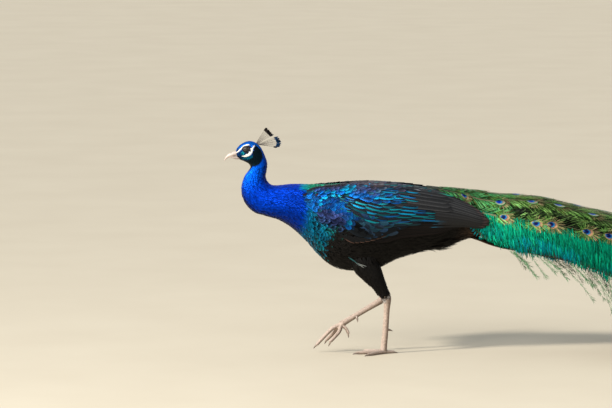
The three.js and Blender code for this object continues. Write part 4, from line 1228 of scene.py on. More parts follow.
rng = np.random.default_rng(31)
v = np.concatenate([np.linspace(-0.96, 0.96, 11), np.linspace(-0.84, 0.84, 8)])
under = np.arange(19) > 10
tip = 0.604 - 0.035 * np.abs(v) ** 3 - 0.02 * under
quills = lay_feathers(
    on_tail, np.full(19, 0.226), v, length=tip - 0.226, width=0.026, depth=0.0005,
    lift=0.002 - 0.0015 * np.abs(v) - 0.004 * under, rows=22, cols=8, cup=0.03,
    outline=lambda run: rounded(run, widest=0.86, root=0.3),
)
shade = TAIL_BROWN * (0.6 + 0.8 * rng.random((19, 1, 1, 1)))
edge = ease(np.abs(quills["wide"]), 0.7, 1)[..., None]
mottle = 0.85 + 0.3 * np.sin(9 * quills["along"] + 3 * quills["across"])[..., None]
quills["colour"] = shade * mottle * (1 - 0.4 * edge) + 0.05 * edge * np.array([1, 0.45, 0.25])
quills["spot"] = np.stack([0.5 + 0.45 * v, np.where(under, 0.3, 0.7)], -1)
tail_look = feather_look("tail_feather", metal=0.0, rough=0.5, barbs=12, contrast=0.2, slope=0.6)
feather_piece("tail_feathers", [quills], tail_look, ["tail"])

# Train bed: one closed sheet that all the train's long feathers lie on, painted near black as the shade deep
# between them. It is cast in one piece and lies a few millimetres under the feathers.
TRAIN_PARTS = ["base", "middle", "end"]
TRAIN_NODES = [f"train_{part}_{face}" for part in TRAIN_PARTS for face in ("top", "left", "right")]
BED_DEPTH = 0.0085

bed = fused(merged_copy("train_shade_bed", TRAIN_NODES), 0.006, 0.0006)
move_points(bed.data, points_of(bed.data) - normals_of(bed.data) * BED_DEPTH)
move_points(bed.data, np.maximum(points_of(bed.data), [-9, -9, REST_ABOVE]))
bpy.ops.object.mode_set(mode="EDIT")
bpy.ops.mesh.select_all(action="SELECT")
bpy.ops.mesh.vertices_smooth(factor=0.5, repeat=3)
bpy.ops.object.mode_set(mode="OBJECT")
bpy.ops.object.shade_smooth()

shade_bed_look = bpy.data.materials.new("train_shade_bed")
shade_bed_look.use_nodes = True
nodes, links = shade_bed_look.node_tree.nodes, shade_bed_look.node_tree.links
place = nodes.new("ShaderNodeNewGeometry")
grain = nodes.new("ShaderNodeTexNoise")
grain.inputs["Scale"].default_value = 260
grain.inputs["Detail"].default_value = 4
# Painted shade: the bed's near-black tones stand for the shade between the feathers.
tone = nodes.new("ShaderNodeValToRGB")
tone.color_ramp.elements[0].position = 0.3
tone.color_ramp.elements[0].color = (0.004, 0.006, 0.003, 1)
tone.color_ramp.elements[1].position = 0.75
tone.color_ramp.elements[1].color = (0.022, 0.030, 0.010, 1)
relief = nodes.new("ShaderNodeBump")
relief.inputs["Strength"].default_value = 0.6
relief.inputs["Distance"].default_value = 0.001
links.new(place.outputs["Position"], grain.inputs["Vector"])
links.new(grain.outputs["Fac"], tone.inputs["Fac"])
links.new(tone.outputs["Color"], nodes["Principled BSDF"].inputs["Base Color"])
links.new(grain.outputs["Fac"], relief.inputs["Height"])
links.new(relief.outputs["Normal"], nodes["Principled BSDF"].inputs["Normal"])
nodes["Principled BSDF"].inputs["Roughness"].default_value = 0.85
bed.data.materials.append(shade_bed_look)
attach(bed, "root")
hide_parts(*TRAIN_NODES)

# Train side feathers: fringed plumes along both sides, with barbs on the outer edge only. They
# hang over each other in rows, dense and emerald green.
TRAIN = np.array([
    # x, height of the ridge, height of the side edge, half width, in metres
    [0.104, 0.442, 0.428, 0.022], [0.158, 0.440, 0.414, 0.040], [0.203, 0.434, 0.384, 0.048],
    [0.228, 0.430, 0.334, 0.051], [0.250, 0.427, 0.303, 0.054], [0.302, 0.421, 0.287, 0.068],
    [0.354, 0.417, 0.275, 0.083], [0.406, 0.411, 0.263, 0.096], [0.460, 0.399, 0.252, 0.107],
    [0.520, 0.384, 0.236, 0.118], [0.593, 0.368, 0.206, 0.129], [0.692, 0.341, 0.160, 0.144],
    [0.822, 0.299, 0.098, 0.160], [0.952, 0.251, 0.047, 0.173], [1.082, 0.199, 0.013, 0.182],
    [1.212, 0.147, 0.000, 0.187], [1.342, 0.096, 0.000, 0.185], [1.446, 0.058, 0.000, 0.176],
    [1.524, 0.031, 0.000, 0.168], [1.580, 0.012, 0.000, 0.160],
])
# EMERALD_LIT and the darkest emerald are painted highlight and painted shade on one emerald colour.
EMERALD = np.array([0.0, 0.21, 0.105])
EMERALD_SHADED = np.array([0.0, 0.045, 0.026])
EMERALD_LIT = np.array([0.004, 0.36, 0.17])
TRAIN_TEAL = np.array([0.0, 0.15, 0.21])


def on_train(u, v, out):
    """The train's outer surface: u is the distance along the bird, v goes round from the right
    edge (1) over the ridge (0) to the left edge (-1). Past an edge it hangs straight down."""
    at = np.interp(u, TRAIN[:, 0], np.arange(len(TRAIN)))
    _, ridge, edge, half = np.moveaxis(curve_through(TRAIN, at), -1, 0)
    rise = ridge - edge
    turn = np.clip(v, -1, 1) * math.pi / 2
    hang = (np.abs(v) - np.clip(np.abs(v), 0, 1)) * rise * math.pi / 2
    over = np.maximum(hang - edge, 0)
    y = (half + out) * np.sin(turn) + np.sign(v) * np.minimum(over, 0.014)
    z = edge + (np.maximum(rise, 0.012) + out) * np.cos(turn) - hang
    return np.stack([u, y, np.maximum(z, out * 0.3)], -1)


def train_spots(u, v):
    """Roots on the unwrap of the train's bed."""
    return np.stack([(u - 0.05) / 1.6, 0.5 + 0.38 * v], -1)


def barbs_along(surface, u, v, height, length, side, slant, rng, width=0.0017, rows=4, bow=0.12, lift=0.002):
    """Single barbs that leave a shaft on one side (-1 or 1) at an angle from its run."""
    count = len(u)
    return lay_feathers(
        surface, u, v, length=length * rng.normal(1, 0.07, count), width=width, depth=-height,
        lift=height + lift * rng.normal(0.4, 0.6, count), outline=pointed,
        turn=side * (slant + rng.normal(0, 0.10, count)), rows=rows, cols=2, cup=0.0,
        bow=-side * bow * rng.normal(1, 0.6, count),
    )


rng = np.random.default_rng(32)
fringe_look = feather_look(
    "train_side_barb", metal=0.55, rough=0.42, barbs=9, contrast=0.12, slope=0.0, shine=0.05
)
for side, word in ((-1, "left"), (1, "right")):
    lots = []
    for row, v_row in enumerate((0.93, 0.86, 0.79, 0.72, 0.65, 0.585)):
        last = 0.60 if row == 0 else 1.47
        u = np.arange(0.208 + 0.004 * row, last, 0.00125)
        u = u + rng.normal(0, 0.001, len(u))
        wave = np.sin(u * 37 + row * 1.7) + np.sin(u * 91 + row)
        v = side * (v_row + 0.012 * wave + rng.normal(0, 0.012, len(u)))
        back = ease(u, 0.62, 1.12)
        height = -0.0069 + 0.0011 * row + rng.normal(0, 0.0006, len(u))
        height += 0.0050 * ease(-u, -0.42, -0.33) * ease(v_row, 0.62, 0.86)
        length = 0.046 - 0.020 * ease(-u, -0.34, -0.24) + 0.008 * ease(u, 0.42, 0.6) + 0.003 * wave
        length = length * (1 - 0.62 * ease(v_row, 0.70, 0.95))
        lot = barbs_along(
            on_train, u, v, height, length, side, slant=np.radians(74 - 46 * back) + 0.10 * wave * 0.5,
            rng=rng, rows=4, width=0.0021,
        )
        pick = rng.random(len(u))
        cool = np.clip(0.65 + 0.4 * np.sin(u * 23 + 2 * v) + 0.35 * np.sin(u * 61 + 5 * row), 0, 1)
        cool = cool * ease(np.abs(v), 0.62, 0.80)
        base = blend(EMERALD, TRAIN_TEAL, 0.85 * cool * (pick > 0.25))
        # Painted shade and highlight: some barbs are painted as shaded, a few as lit.
        base = blend(base, EMERALD_SHADED, 0.75 * (pick < 0.22))
        base = blend(base, EMERALD_LIT, 0.7 * (pick > 0.88))
        base = base[:, None, None] * (0.65 + 0.6 * rng.random((len(u), 1, 1, 1)))
        tip_light = 0.35 + 0.85 * np.sin(math.pi * np.clip(lot["run"] * 0.9 + 0.12, 0, 1))[..., None]
        lot["colour"] = base * tip_light
        lot["spot"] = train_spots(u, v)
        lots.append(lot)
    feather_piece(f"train_side_plumes_{word}", lots, fringe_look)

# Train feathers: over a hundred long plumes of loose golden-green barbs, each ending in an eye.
# Their eyes are staggered from the rump to the train's end, and the shorter ones lie on top. Light and shade
# are painted on their barbs.
# BARB_LIT and the darkest tone are painted highlight and painted shade on one golden-green barb colour.
BARB_GREEN = np.array([0.085, 0.20, 0.035])
BARB_LIT = np.array([0.26, 0.46, 0.12])
SHADED_BARB = np.array([0.006, 0.013, 0.004])
BARB_COPPER = np.array([0.17, 0.11, 0.04])
# The first eyes on each side as [x, v]; further back they stand in even, staggered rows.
FIRST_EYES = np.array([
    [0.213, 0.47], [0.304, 0.36], [0.387, 0.26], [0.458, 0.215], [0.545, 0.24], [0.315, 0.60],
    [0.398, 0.61], [0.437, 0.585], [0.528, 0.56], [0.585, 0.53],
])


def plume_places(rng):
    """Where each long feather's eye lies: the distance along the bird and v, from front to back."""
    found = [[x + 0.004 * side, side * v] for side in (-1, 1) for x, v in FIRST_EYES]
    found += [[0.255, 0.06], [0.345, -0.05], [0.425, 0.04], [0.505, -0.03], [0.575, 0.03]]
    for row, x in enumerate(np.arange(0.632, 1.575, 0.0365)):
        here = on_train(np.full(181, x), np.linspace(-0.6, 0.6, 181), np.zeros(181))
        arc = np.linalg.norm(np.diff(here, axis=0), axis=1).sum()
        across = max(int(round(arc / 0.092)), 2)
        places = (np.arange(across) + 0.25 + 0.5 * (row % 2)) / across * 1.2 - 0.6
        widest = np.interp(x, [1.44, 1.52, 1.566, 1.58], [0.17, 0.125, 0.07, 0.01])
        for v in places:
            if abs(on_train(x, np.array(v), 0.0)[1]) < widest:
                found.append([x + rng.normal(0, 0.005), v + rng.normal(0, 0.015)])
    return np.array(found)


rng = np.random.default_rng(33)
eyes = plume_places(rng)
eyes = eyes[np.argsort(eyes[:, 0])]
grown = ease(eyes[:, 0], 0.18, 0.42)
eye_long = 0.024 + 0.011 * grown + rng.normal(0, 0.0012, len(eyes))
eye_wide = 0.78 * eye_long
shaft_long = np.minimum(0.17, (eyes[:, 0] - 0.085) * 0.85)
barb_long = 0.026 + 0.020 * grown
top_layer = ease(-np.abs(eyes[:, 1]), -0.50, -0.40)


def plume_height(run, top):
    """How high a feather's shaft lies over the train's surface: sunk at its root, free at its eye."""
    return (0.0070 + 0.0020 * top) * run**0.7 - 0.0075


barb_look = feather_look("train_barb", metal=0.45, rough=0.42, barbs=9, contrast=0.14, slope=0.0)
BARBS = 84
groups = np.array_split(np.arange(len(eyes)), 3)
for group, word in zip(groups, ("front", "middle", "rear")):
    lots = []
    for side in (-1, 1):
        run = np.tile(np.linspace(0.02, 1.0, BARBS), len(group)) + rng.normal(0, 0.004, BARBS * len(group))
        run = np.clip(run, 0.01, 1.02)
        who = np.repeat(group, BARBS)
        u = eyes[who, 0] - 0.4 * eye_long[who] - shaft_long[who] * (1 - run)
        v = eyes[who, 1]
        tuck = rng.normal(0, 0.03, len(who))
        lot = barbs_along(
            on_train, u, v, plume_height(run, top_layer[who]), barb_long[who] * (1.05 - 0.25 * run), side,
            slant=np.radians(56 - 24 * run) + tuck, rng=rng, width=0.0017, rows=4, lift=0.0016,
        )
        pick = rng.random(len(who))
        shade = (0.45 + 0.75 * rng.random(len(eyes)))[who]
        base = blend(BARB_GREEN, BARB_LIT, (pick > 0.72) * (0.4 + 0.6 * rng.random(len(who))))
        # Painted shade: about a third of the barbs are painted near black as shaded ones.
        base = blend(base, SHADED_BARB, 0.9 * (pick < 0.36))
        base = blend(base, BARB_COPPER, 0.5 * ((pick > 0.36) & (pick < 0.44)))
        base = blend(base, (0.03, 0.46, 0.17), 0.5 * ease(-u, -0.36, -0.26) * (pick > 0.5))
        base = (base * shade[:, None])[:, None, None]
        # Painted shadow: a dark band just below the top layer's edge. The top layer is painted lighter as
        # sunlit, and each barb darker towards its root as shade.
        off_ridge = np.abs(lot["v"])
        shaded_hollow = ease(off_ridge, 0.36, 0.43) * ease(-off_ridge, -0.60, -0.56)
        shaded_hollow *= ease(lot["u"], 0.30, 0.34) * ease(-lot["u"], -0.72, -0.62) * (pick < 0.87)[:, None, None]
        shaded_hollow *= 0.88 + 0.12 * np.sin(60 * lot["u"] - 20)
        sunlit = 1 + 0.35 * ease(-off_ridge, -0.42, -0.36)
        light = (0.25 + 1.1 * ease(lot["run"], 0.05, 0.75)) * (1 - 0.96 * shaded_hollow) * sunlit
        lot["colour"] = base * light[..., None]
        lot["spot"] = train_spots(u, v)
        lots.append(lot)
    shafts = lay_feathers(
        on_train, eyes[group, 0] - 0.4 * eye_long[group] - shaft_long[group], eyes[group, 1],
        length=shaft_long[group], width=0.0017, depth=0.0075, lift=0.0001 + 0.0020 * top_layer[group],
        outline=lambda run: 1 - 0.4 * run, rows=10, cols=3, cup=0.5,
    )
    shafts["colour"] = np.array([0.10, 0.10, 0.05]) + 0 * shafts["points"]
    shafts["spot"] = train_spots(eyes[group, 0] - shaft_long[group], eyes[group, 1])
    lots.append(shafts)
    feather_piece(f"train_plumes_{word}", lots, barb_look)

# Train end: the longest feathers have no eye. Their loose barbs close the train's end in a round,
# forked fringe, green in the middle and emerald at the sides.
rng = np.random.default_rng(35)
lots = []
for row, x in enumerate((1.535, 1.515, 1.495, 1.47, 1.44, 1.41)):
    v = np.linspace(-0.98, 0.98, 300) + rng.normal(0, 0.006, 300)
    u = x - 0.085 * np.abs(v) ** 2.5 + rng.normal(0, 0.004, 300)
    wave = np.sin(29 * v + 2 * row)
    lot = lay_feathers(
        on_train, u, v, length=0.056 + 0.010 * wave, width=0.0023, depth=0.002, rows=5, cols=2, cup=0.0,
        lift=0.0012 + 0.0010 * row + 0.002 * rng.random(300), outline=pointed,
        turn=np.radians(38) * v * np.abs(v) + 0.30 * np.cos(29 * v + 2 * row) + rng.normal(0, 0.08, 300),
    )
    pick = rng.random(300)
    base = blend(BARB_GREEN, EMERALD, ease(np.abs(v), 0.45, 0.75))
    # Painted highlight and shade: a few lit barbs in the middle, shaded ones at random.
    base = blend(base, BARB_LIT, 0.6 * (pick > 0.8) * ease(-np.abs(v), -0.75, -0.45))
    base = blend(base, EMERALD_SHADED, 0.8 * (pick < 0.3))
    base = base[:, None, None] * (0.6 + 0.6 * rng.random((300, 1, 1, 1)))
    lot["colour"] = base * (0.35 + 0.85 * ease(lot["run"], 0.05, 0.7))[..., None]
    lot["spot"] = train_spots(u, v)
    lots.append(lot)
feather_piece("train_end_fringe", lots, fringe_look)

# Train eyes: the flat, close-knit tip of each long feather. A dark blue heart lies in turquoise, then rings
# of copper, gold and green follow, and a fringe of free copper tips. The rings are painted lighter on the
# top layer, as lit, and darker below it, as shaded.
level = plume_height(1.0, top_layer)
discs = lay_feathers(
    on_train, eyes[:, 0] - 0.5 * eye_long, eyes[:, 1], length=eye_long, width=eye_wide,
    depth=-level, lift=level + 0.0008, rows=18, cols=17, cup=0.04,
    tilt=0.30 * np.sign(eyes[:, 1]) * top_layer * ease(np.abs(eyes[:, 1]), 0.1, 0.2),
    outline=lambda run: np.sqrt(np.clip(1 - (2 * run - 1) ** 2, 0.0004, 1)) * (1 - 0.12 * (1 - run)),
)
a = 2 * discs["run"] - 1
b = discs["wide"] * np.sqrt(np.clip(1 - a**2, 0, 1))
colour = np.zeros(a.shape + (3,)) + (0.10, 0.26, 0.05)
for centre, long, wide, ring, lit_ring in (
    (0.0, 0.93, 0.93, (0.26, 0.24, 0.06), (0.16, 0.50, 0.22)),
    (0.0, 0.84, 0.84, (0.36, 0.19, 0.11), (0.40, 0.29, 0.21)),
    (-0.08, 0.62, 0.64, (0.14, 0.06, 0.035), (0.20, 0.14, 0.10)),
    (-0.14, 0.56, 0.59, (0.002, 0.18, 0.24), (0.004, 0.34, 0.38)),
    (-0.17, 0.47, 0.51, (0.002, 0.05, 0.30), (0.004, 0.10, 0.60)),
    (-0.20, 0.38, 0.44, (0.003, 0.004, 0.04), (0.006, 0.020, 0.30)),
):
    within = np.hypot((a - centre) / long, b / wide)
    # Painted light and shade: lit ring tones on the top layer, shaded ones on the lower rows.
    ring = blend(ring, lit_ring, top_layer)[:, None, None]
    colour = blend(colour, ring, ease(-within, -1.06, -0.94))
colour = blend(colour, (0.01, 0.16, 0.55), 0.9 * ease(-np.hypot((a + 0.56) / 0.18, b / 0.10), -1.1, -0.8))
discs["colour"] = colour * (0.85 + 0.3 * rng.random((len(eyes), 1, 1, 1)))
discs["spot"] = train_spots(eyes[:, 0], eyes[:, 1])

around = np.linspace(-math.pi, math.pi, 44, endpoint=False)
who = np.repeat(np.arange(len(eyes)), len(around))
angle = np.tile(around, len(eyes)) + rng.normal(0, 0.05, len(who))
flat = np.zeros(len(eyes))
step = on_train(eyes[:, 0], eyes[:, 1] + 0.01, flat) - on_train(eyes[:, 0], eyes[:, 1], flat)
per_v = np.linalg.norm(step, axis=1) / 0.01
u = eyes[who, 0] + 0.40 * eye_long[who] * np.cos(angle)
v = eyes[who, 1] + 0.40 * eye_wide[who] * np.sin(angle) / per_v[who]
height = plume_height(1.0, top_layer[who]) + 0.0006
fringe = lay_feathers(
    on_train, u, v, length=(0.008 + 0.010 * grown[who]) * (0.8 + 0.4 * np.cos(angle) ** 2), width=0.0016,
    depth=-height, lift=height + 0.002 * rng.normal(0, 0.5, len(who)), outline=pointed,
    turn=angle * 0.86 + rng.normal(0, 0.08, len(who)), rows=3, cols=2, cup=0.0,
)
copper = ease(np.cos(angle), -0.7, 0.2)
base = blend((0.12, 0.28, 0.05), (0.44, 0.26, 0.15), copper * (0.35 + 0.65 * rng.random(len(who))))
base = base * (0.25 + 0.9 * rng.random((len(who), 1)))
fringe["colour"] = base[:, None, None] * (0.7 + 0.5 * fringe["run"][..., None])
fringe["spot"] = train_spots(u, v)
eye_look = feather_look("train_eye", metal=0.5, rough=0.34, barbs=12, contrast=0.08, slope=0.7)
feather_piece("train_eyes", [discs], eye_look)
feather_piece("train_eye_fringes", [fringe], barb_look)

# Train wisps: loose thin plumes that have slipped down from the sides and trail below them.
rng = np.random.default_rng(34)
for side, word in ((-1, "left"), (1, "right")):
    u = np.sort(rng.uniform(0.31, 0.86, 42))
    v = side * rng.uniform(0.92, 0.995, len(u))
    length = rng.uniform(0.07, 0.17, len(u)) * (0.65 + 0.35 * ease(u, 0.36, 0.55))
    slant = side * (np.radians(27 + 10 * ease(u, 0.36, 0.55)) + rng.normal(0, 0.13, len(u)))
    spine = lay_feathers(
        on_train, u, v, length=length, width=0.0009, depth=0.003, lift=0.0, outline=pointed,
        turn=slant, rows=10, cols=2, cup=0.0, bow=side * rng.uniform(-0.05, 0.08, len(u)),
    )
    tone = (0.02, 0.075, 0.03)
    spine["colour"] = spine["points"] * 0 + tone
    spine["spot"] = train_spots(u, v)
    lots = [spine]
    who = np.repeat(np.arange(len(u)), 22)
    run = np.tile(np.linspace(0.15, 1.0, 22), len(u)) + rng.normal(0, 0.02, len(who))
    at = np.clip(run, 0, 1) * (spine["points"].shape[1] - 1)
    low = np.minimum(at.astype(int), spine["points"].shape[1] - 2)
    share = at - low
    for grid in ("u", "v"):
        line = spine[grid][..., 0]
        value = line[who, low] * (1 - share) + line[who, low + 1] * share
        if grid == "u":
            barb_u = value
        else:
            barb_v = value
    for way in (-1, 1):
        barbs = lay_feathers(
            on_train, barb_u, barb_v, length=rng.uniform(0.005, 0.016, len(who)), width=0.0008,
            depth=0.002, lift=0.003 * rng.random(len(who)), outline=pointed, rows=3, cols=2, cup=0.0,
            turn=slant[who] + way * (0.45 + rng.normal(0, 0.15, len(who))), bow=-way * 0.10,
        )
        base = blend((0.015, 0.060, 0.025), (0.09, 0.22, 0.09), rng.random(len(who)))
        barbs["colour"] = base[:, None, None] + 0 * barbs["points"]
        barbs["spot"] = train_spots(barb_u, barb_v)
        lots.append(barbs)
    feather_piece(f"train_wisps_{word}", lots, fringe_look)

# Eyes: glossy balls, each with a dark brown iris, a round pupil and a clear domed cornea.
def ring_colour(mesh, axis, rings):
    """Paints a ball by the angle from an axis: [degrees, colour] stops from the middle outwards."""
    out = unit(points_of(mesh) - points_of(mesh).mean(0))
    angle = np.degrees(np.arccos(np.clip(out @ unit(np.array(axis)), -1, 1)))
    stops = np.array([stop for stop, _ in rings])
    tones = np.array([tone for _, tone in rings])
    return np.stack([np.interp(angle, stops, tones[:, i]) for i in range(3)], -1)


eye_skin = bpy.data.materials.new("eye_gloss")
eye_skin.use_nodes = True
nodes, links = eye_skin.node_tree.nodes, eye_skin.node_tree.links
painted = nodes.new("ShaderNodeAttribute")
painted.attribute_name = "plumage"
place = nodes.new("ShaderNodeNewGeometry")
threads = nodes.new("ShaderNodeTexNoise")
threads.inputs["Scale"].default_value = 1600
threads.inputs["Detail"].default_value = 3
gain = nodes.new("ShaderNodeMapRange")
gain.inputs["To Min"].default_value = 0.6
gain.inputs["To Max"].default_value = 1.4
tinted = nodes.new("ShaderNodeMix")
tinted.data_type = "RGBA"
tinted.blend_type = "MULTIPLY"
tinted.inputs["Factor"].default_value = 1
links.new(place.outputs["Position"], threads.inputs["Vector"])
links.new(threads.outputs["Fac"], gain.inputs["Value"])
links.new(painted.outputs["Color"], tinted.inputs["A"])
links.new(gain.outputs["Result"], tinted.inputs["B"])
links.new(tinted.outputs["Result"], nodes["Principled BSDF"].inputs["Base Color"])
nodes["Principled BSDF"].inputs["Roughness"].default_value = 0.08
nodes["Principled BSDF"].inputs["Coat Weight"].default_value = 1.0
nodes["Principled BSDF"].inputs["Coat Roughness"].default_value = 0.02

for side, word in ((-1, "left"), (1, "right")):
    centre = Vector((EYE_CENTRE[0], side * EYE_CENTRE[1], EYE_CENTRE[2]))
    bpy.ops.object.select_all(action="DESELECT")
    bpy.ops.mesh.primitive_uv_sphere_add(segments=40, ring_count=24, radius=EYE_RADIUS, location=(0, 0, 0))
    ball = bpy.context.object
    ball.name = f"eye_ball_{word}"
    points = points_of(ball.data)
    gaze = unit(np.array([-0.14, side * 0.985, 0.05]))
    facing = unit(points) @ gaze
    points = points + unit(points) * (0.0009 * ease(facing, 0.72, 0.95))[:, None]
    move_points(ball.data, points + np.array(centre))
    paint(ball.data, ring_colour(ball.data, gaze, (
        (0, (0.001, 0.001, 0.001)), (22, (0.001, 0.001, 0.001)), (25, (0.030, 0.013, 0.006)),
        (38, (0.045, 0.020, 0.008)), (46, (0.012, 0.007, 0.005)), (52, (0.008, 0.006, 0.007)),
        (180, (0.02, 0.012, 0.012)),
    )))
    bpy.ops.object.shade_smooth()
    ball.data.materials.append(eye_skin)
    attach(ball, "root")
    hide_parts(f"eye_{word}")

# Horn: the bill, claws and spurs, all of a keratin that is pale and pinkish at the root and darker
# at the tip. Each copies its own solid with a finer, rounded surface.


def horn_look(name, light, dark, rough):
    """A horn material: fine growth lines over two tones mixed by the painted share of dark."""
    look = bpy.data.materials.new(name)
    look.use_nodes = True
    nodes, links = look.node_tree.nodes, look.node_tree.links
    painted = nodes.new("ShaderNodeAttribute")
    painted.attribute_name = "plumage"
    place = nodes.new("ShaderNodeNewGeometry")
    lines = nodes.new("ShaderNodeTexNoise")
    lines.inputs["Scale"].default_value = 420
    lines.inputs["Detail"].default_value = 5
    share = nodes.new("ShaderNodeMath")
    share.operation = "MULTIPLY_ADD"
    share.inputs[1].default_value = 0.5
    share.use_clamp = True
    split = nodes.new("ShaderNodeSeparateColor")
    lower = nodes.new("ShaderNodeMath")
    lower.operation = "SUBTRACT"
    lower.inputs[1].default_value = 0.25
    tone = nodes.new("ShaderNodeMix")
    tone.data_type = "RGBA"
    tone.inputs["A"].default_value = (*light, 1)
    tone.inputs["B"].default_value = (*dark, 1)
    relief = nodes.new("ShaderNodeBump")
    relief.inputs["Strength"].default_value = 0.25
    relief.inputs["Distance"].default_value = 0.0002
    links.new(place.outputs["Position"], lines.inputs["Vector"])
    links.new(painted.outputs["Color"], split.inputs["Color"])
    links.new(split.outputs["Red"], lower.inputs[0])
    links.new(lines.outputs["Fac"], share.inputs[0])
    links.new(lower.outputs["Value"], share.inputs[2])
    links.new(share.outputs["Value"], tone.inputs["Factor"])
    links.new(tone.outputs["Result"], nodes["Principled BSDF"].inputs["Base Color"])
    links.new(lines.outputs["Fac"], relief.inputs["Height"])
    links.new(relief.outputs["Normal"], nodes["Principled BSDF"].inputs["Normal"])
    nodes["Principled BSDF"].inputs["Roughness"].default_value = rough
    return look


def refined(name, node, cuts, ease_off):
    """A finer, rounded copy of one solid that keeps its size."""
    thing = merged_copy(name, [node])
    activate(thing)
    before = points_of(thing.data)
    low, high = before.min(0), before.max(0)
    bpy.ops.object.mode_set(mode="EDIT")
    bpy.ops.mesh.select_all(action="SELECT")
    bpy.ops.mesh.subdivide(number_cuts=cuts, smoothness=0)
    bpy.ops.mesh.vertices_smooth(factor=0.5, repeat=ease_off)
    bpy.ops.object.mode_set(mode="OBJECT")
    bpy.ops.object.shade_smooth()
    points = points_of(thing.data)
    was_low, was_high = points.min(0), points.max(0)
    move_points(thing.data, low + (points - was_low) * (high - low) / (was_high - was_low))
    return thing


bill_look = horn_look("bill_horn", (0.60, 0.49, 0.42), (0.13, 0.085, 0.07), 0.38)
NOSTRIL = np.array([-0.3985, 0.0, 0.5262])
for part in ("upper", "lower"):
    bill = refined(f"bill_{part}_horn", f"bill_{part}", 3, 4)
    points = points_of(bill.data)
    root = ease(points[:, 0], -0.399, -0.388)
    tip = ease(-points[:, 0], 0.405, 0.424)
    dark = 0.35 * tip + 0.25 * root
    if part == "lower":
        forward = np.maximum(-0.386 - points[:, 0], 0)
        points[:, 2] += 0.15 * forward + 0.0018 * np.sin(math.pi * np.clip(forward / 0.025, 0, 1)) ** 0.6
        dark = dark + 0.25
    else:
        far = np.hypot((points[:, 0] - NOSTRIL[0]) / 0.0042, (points[:, 2] - NOSTRIL[2]) / 0.0011)
        shaded_hollow = ease(-far, -1.2, -0.4) * (np.abs(points[:, 1]) > 0.001)
        points[:, 1] -= np.sign(points[:, 1]) * 0.0009 * shaded_hollow
        # Painted shade: the nostril's pit is painted dark.
        dark = np.maximum(dark, shaded_hollow)
    move_points(bill.data, points)
    paint(bill.data, np.repeat(dark[:, None], 3, 1))
    bill.data.materials.append(bill_look)
    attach(bill, "root")
    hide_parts(f"bill_{part}")

claw_look = horn_look("claw_horn", (0.42, 0.32, 0.25), (0.045, 0.030, 0.022), 0.35)
CLAWS = [f"claw_{side}_{toe}" for side in ("left", "right") for toe in TOES]
for node in CLAWS + ["spur_left", "spur_right"]:
    claw = refined(f"{node}_horn", node, 2, 3)
    points = points_of(claw.data)
    far = np.linalg.norm(points - points[np.argmax(points[:, 0])], axis=1)
    low = ease(-points[:, 2], -points[:, 2].max(), -points[:, 2].min())
    dark = 0.1 + 0.8 * low**1.5 if node.startswith("claw") else 0.2 + 0.4 * ease(-far, -far.max(), 0)
    paint(claw.data, np.repeat(dark[:, None], 3, 1))
    claw.data.materials.append(claw_look)
    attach(claw, "root")
    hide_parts(node)

# Crest: twenty stiff bare shafts that rise from the crown in a narrow fan and lean back. Each ends
# in a small flat racket of barbs, dark at the front and blue-green behind.
CREST_ROOT = np.array([-0.329, 0.0, 0.5515])
CREST_BROWN = np.array([0.016, 0.011, 0.010])
CREST_TEAL = np.array([0.002, 0.060, 0.17])


def crest_tips(rng):
    """Each racket's tip, as x and height, and its share of blue-green, from front to rear."""
    front = [(-0.3068 + 0.0140 * t, 0.5900 - 0.0146 * t, 0.02) for t in np.linspace(0, 1, 8)]
    between = [(-0.2895, 0.5727, 0.3)]
    rear = [
        (-0.2777 + 0.0073 * math.sin(2.5 * t), 0.5670 - 0.0235 * t, 0.8) for t in np.linspace(0, 1, 10)
    ]
    low = [(-0.2803, 0.5400, 0.2)]
    return front + between + rear + low


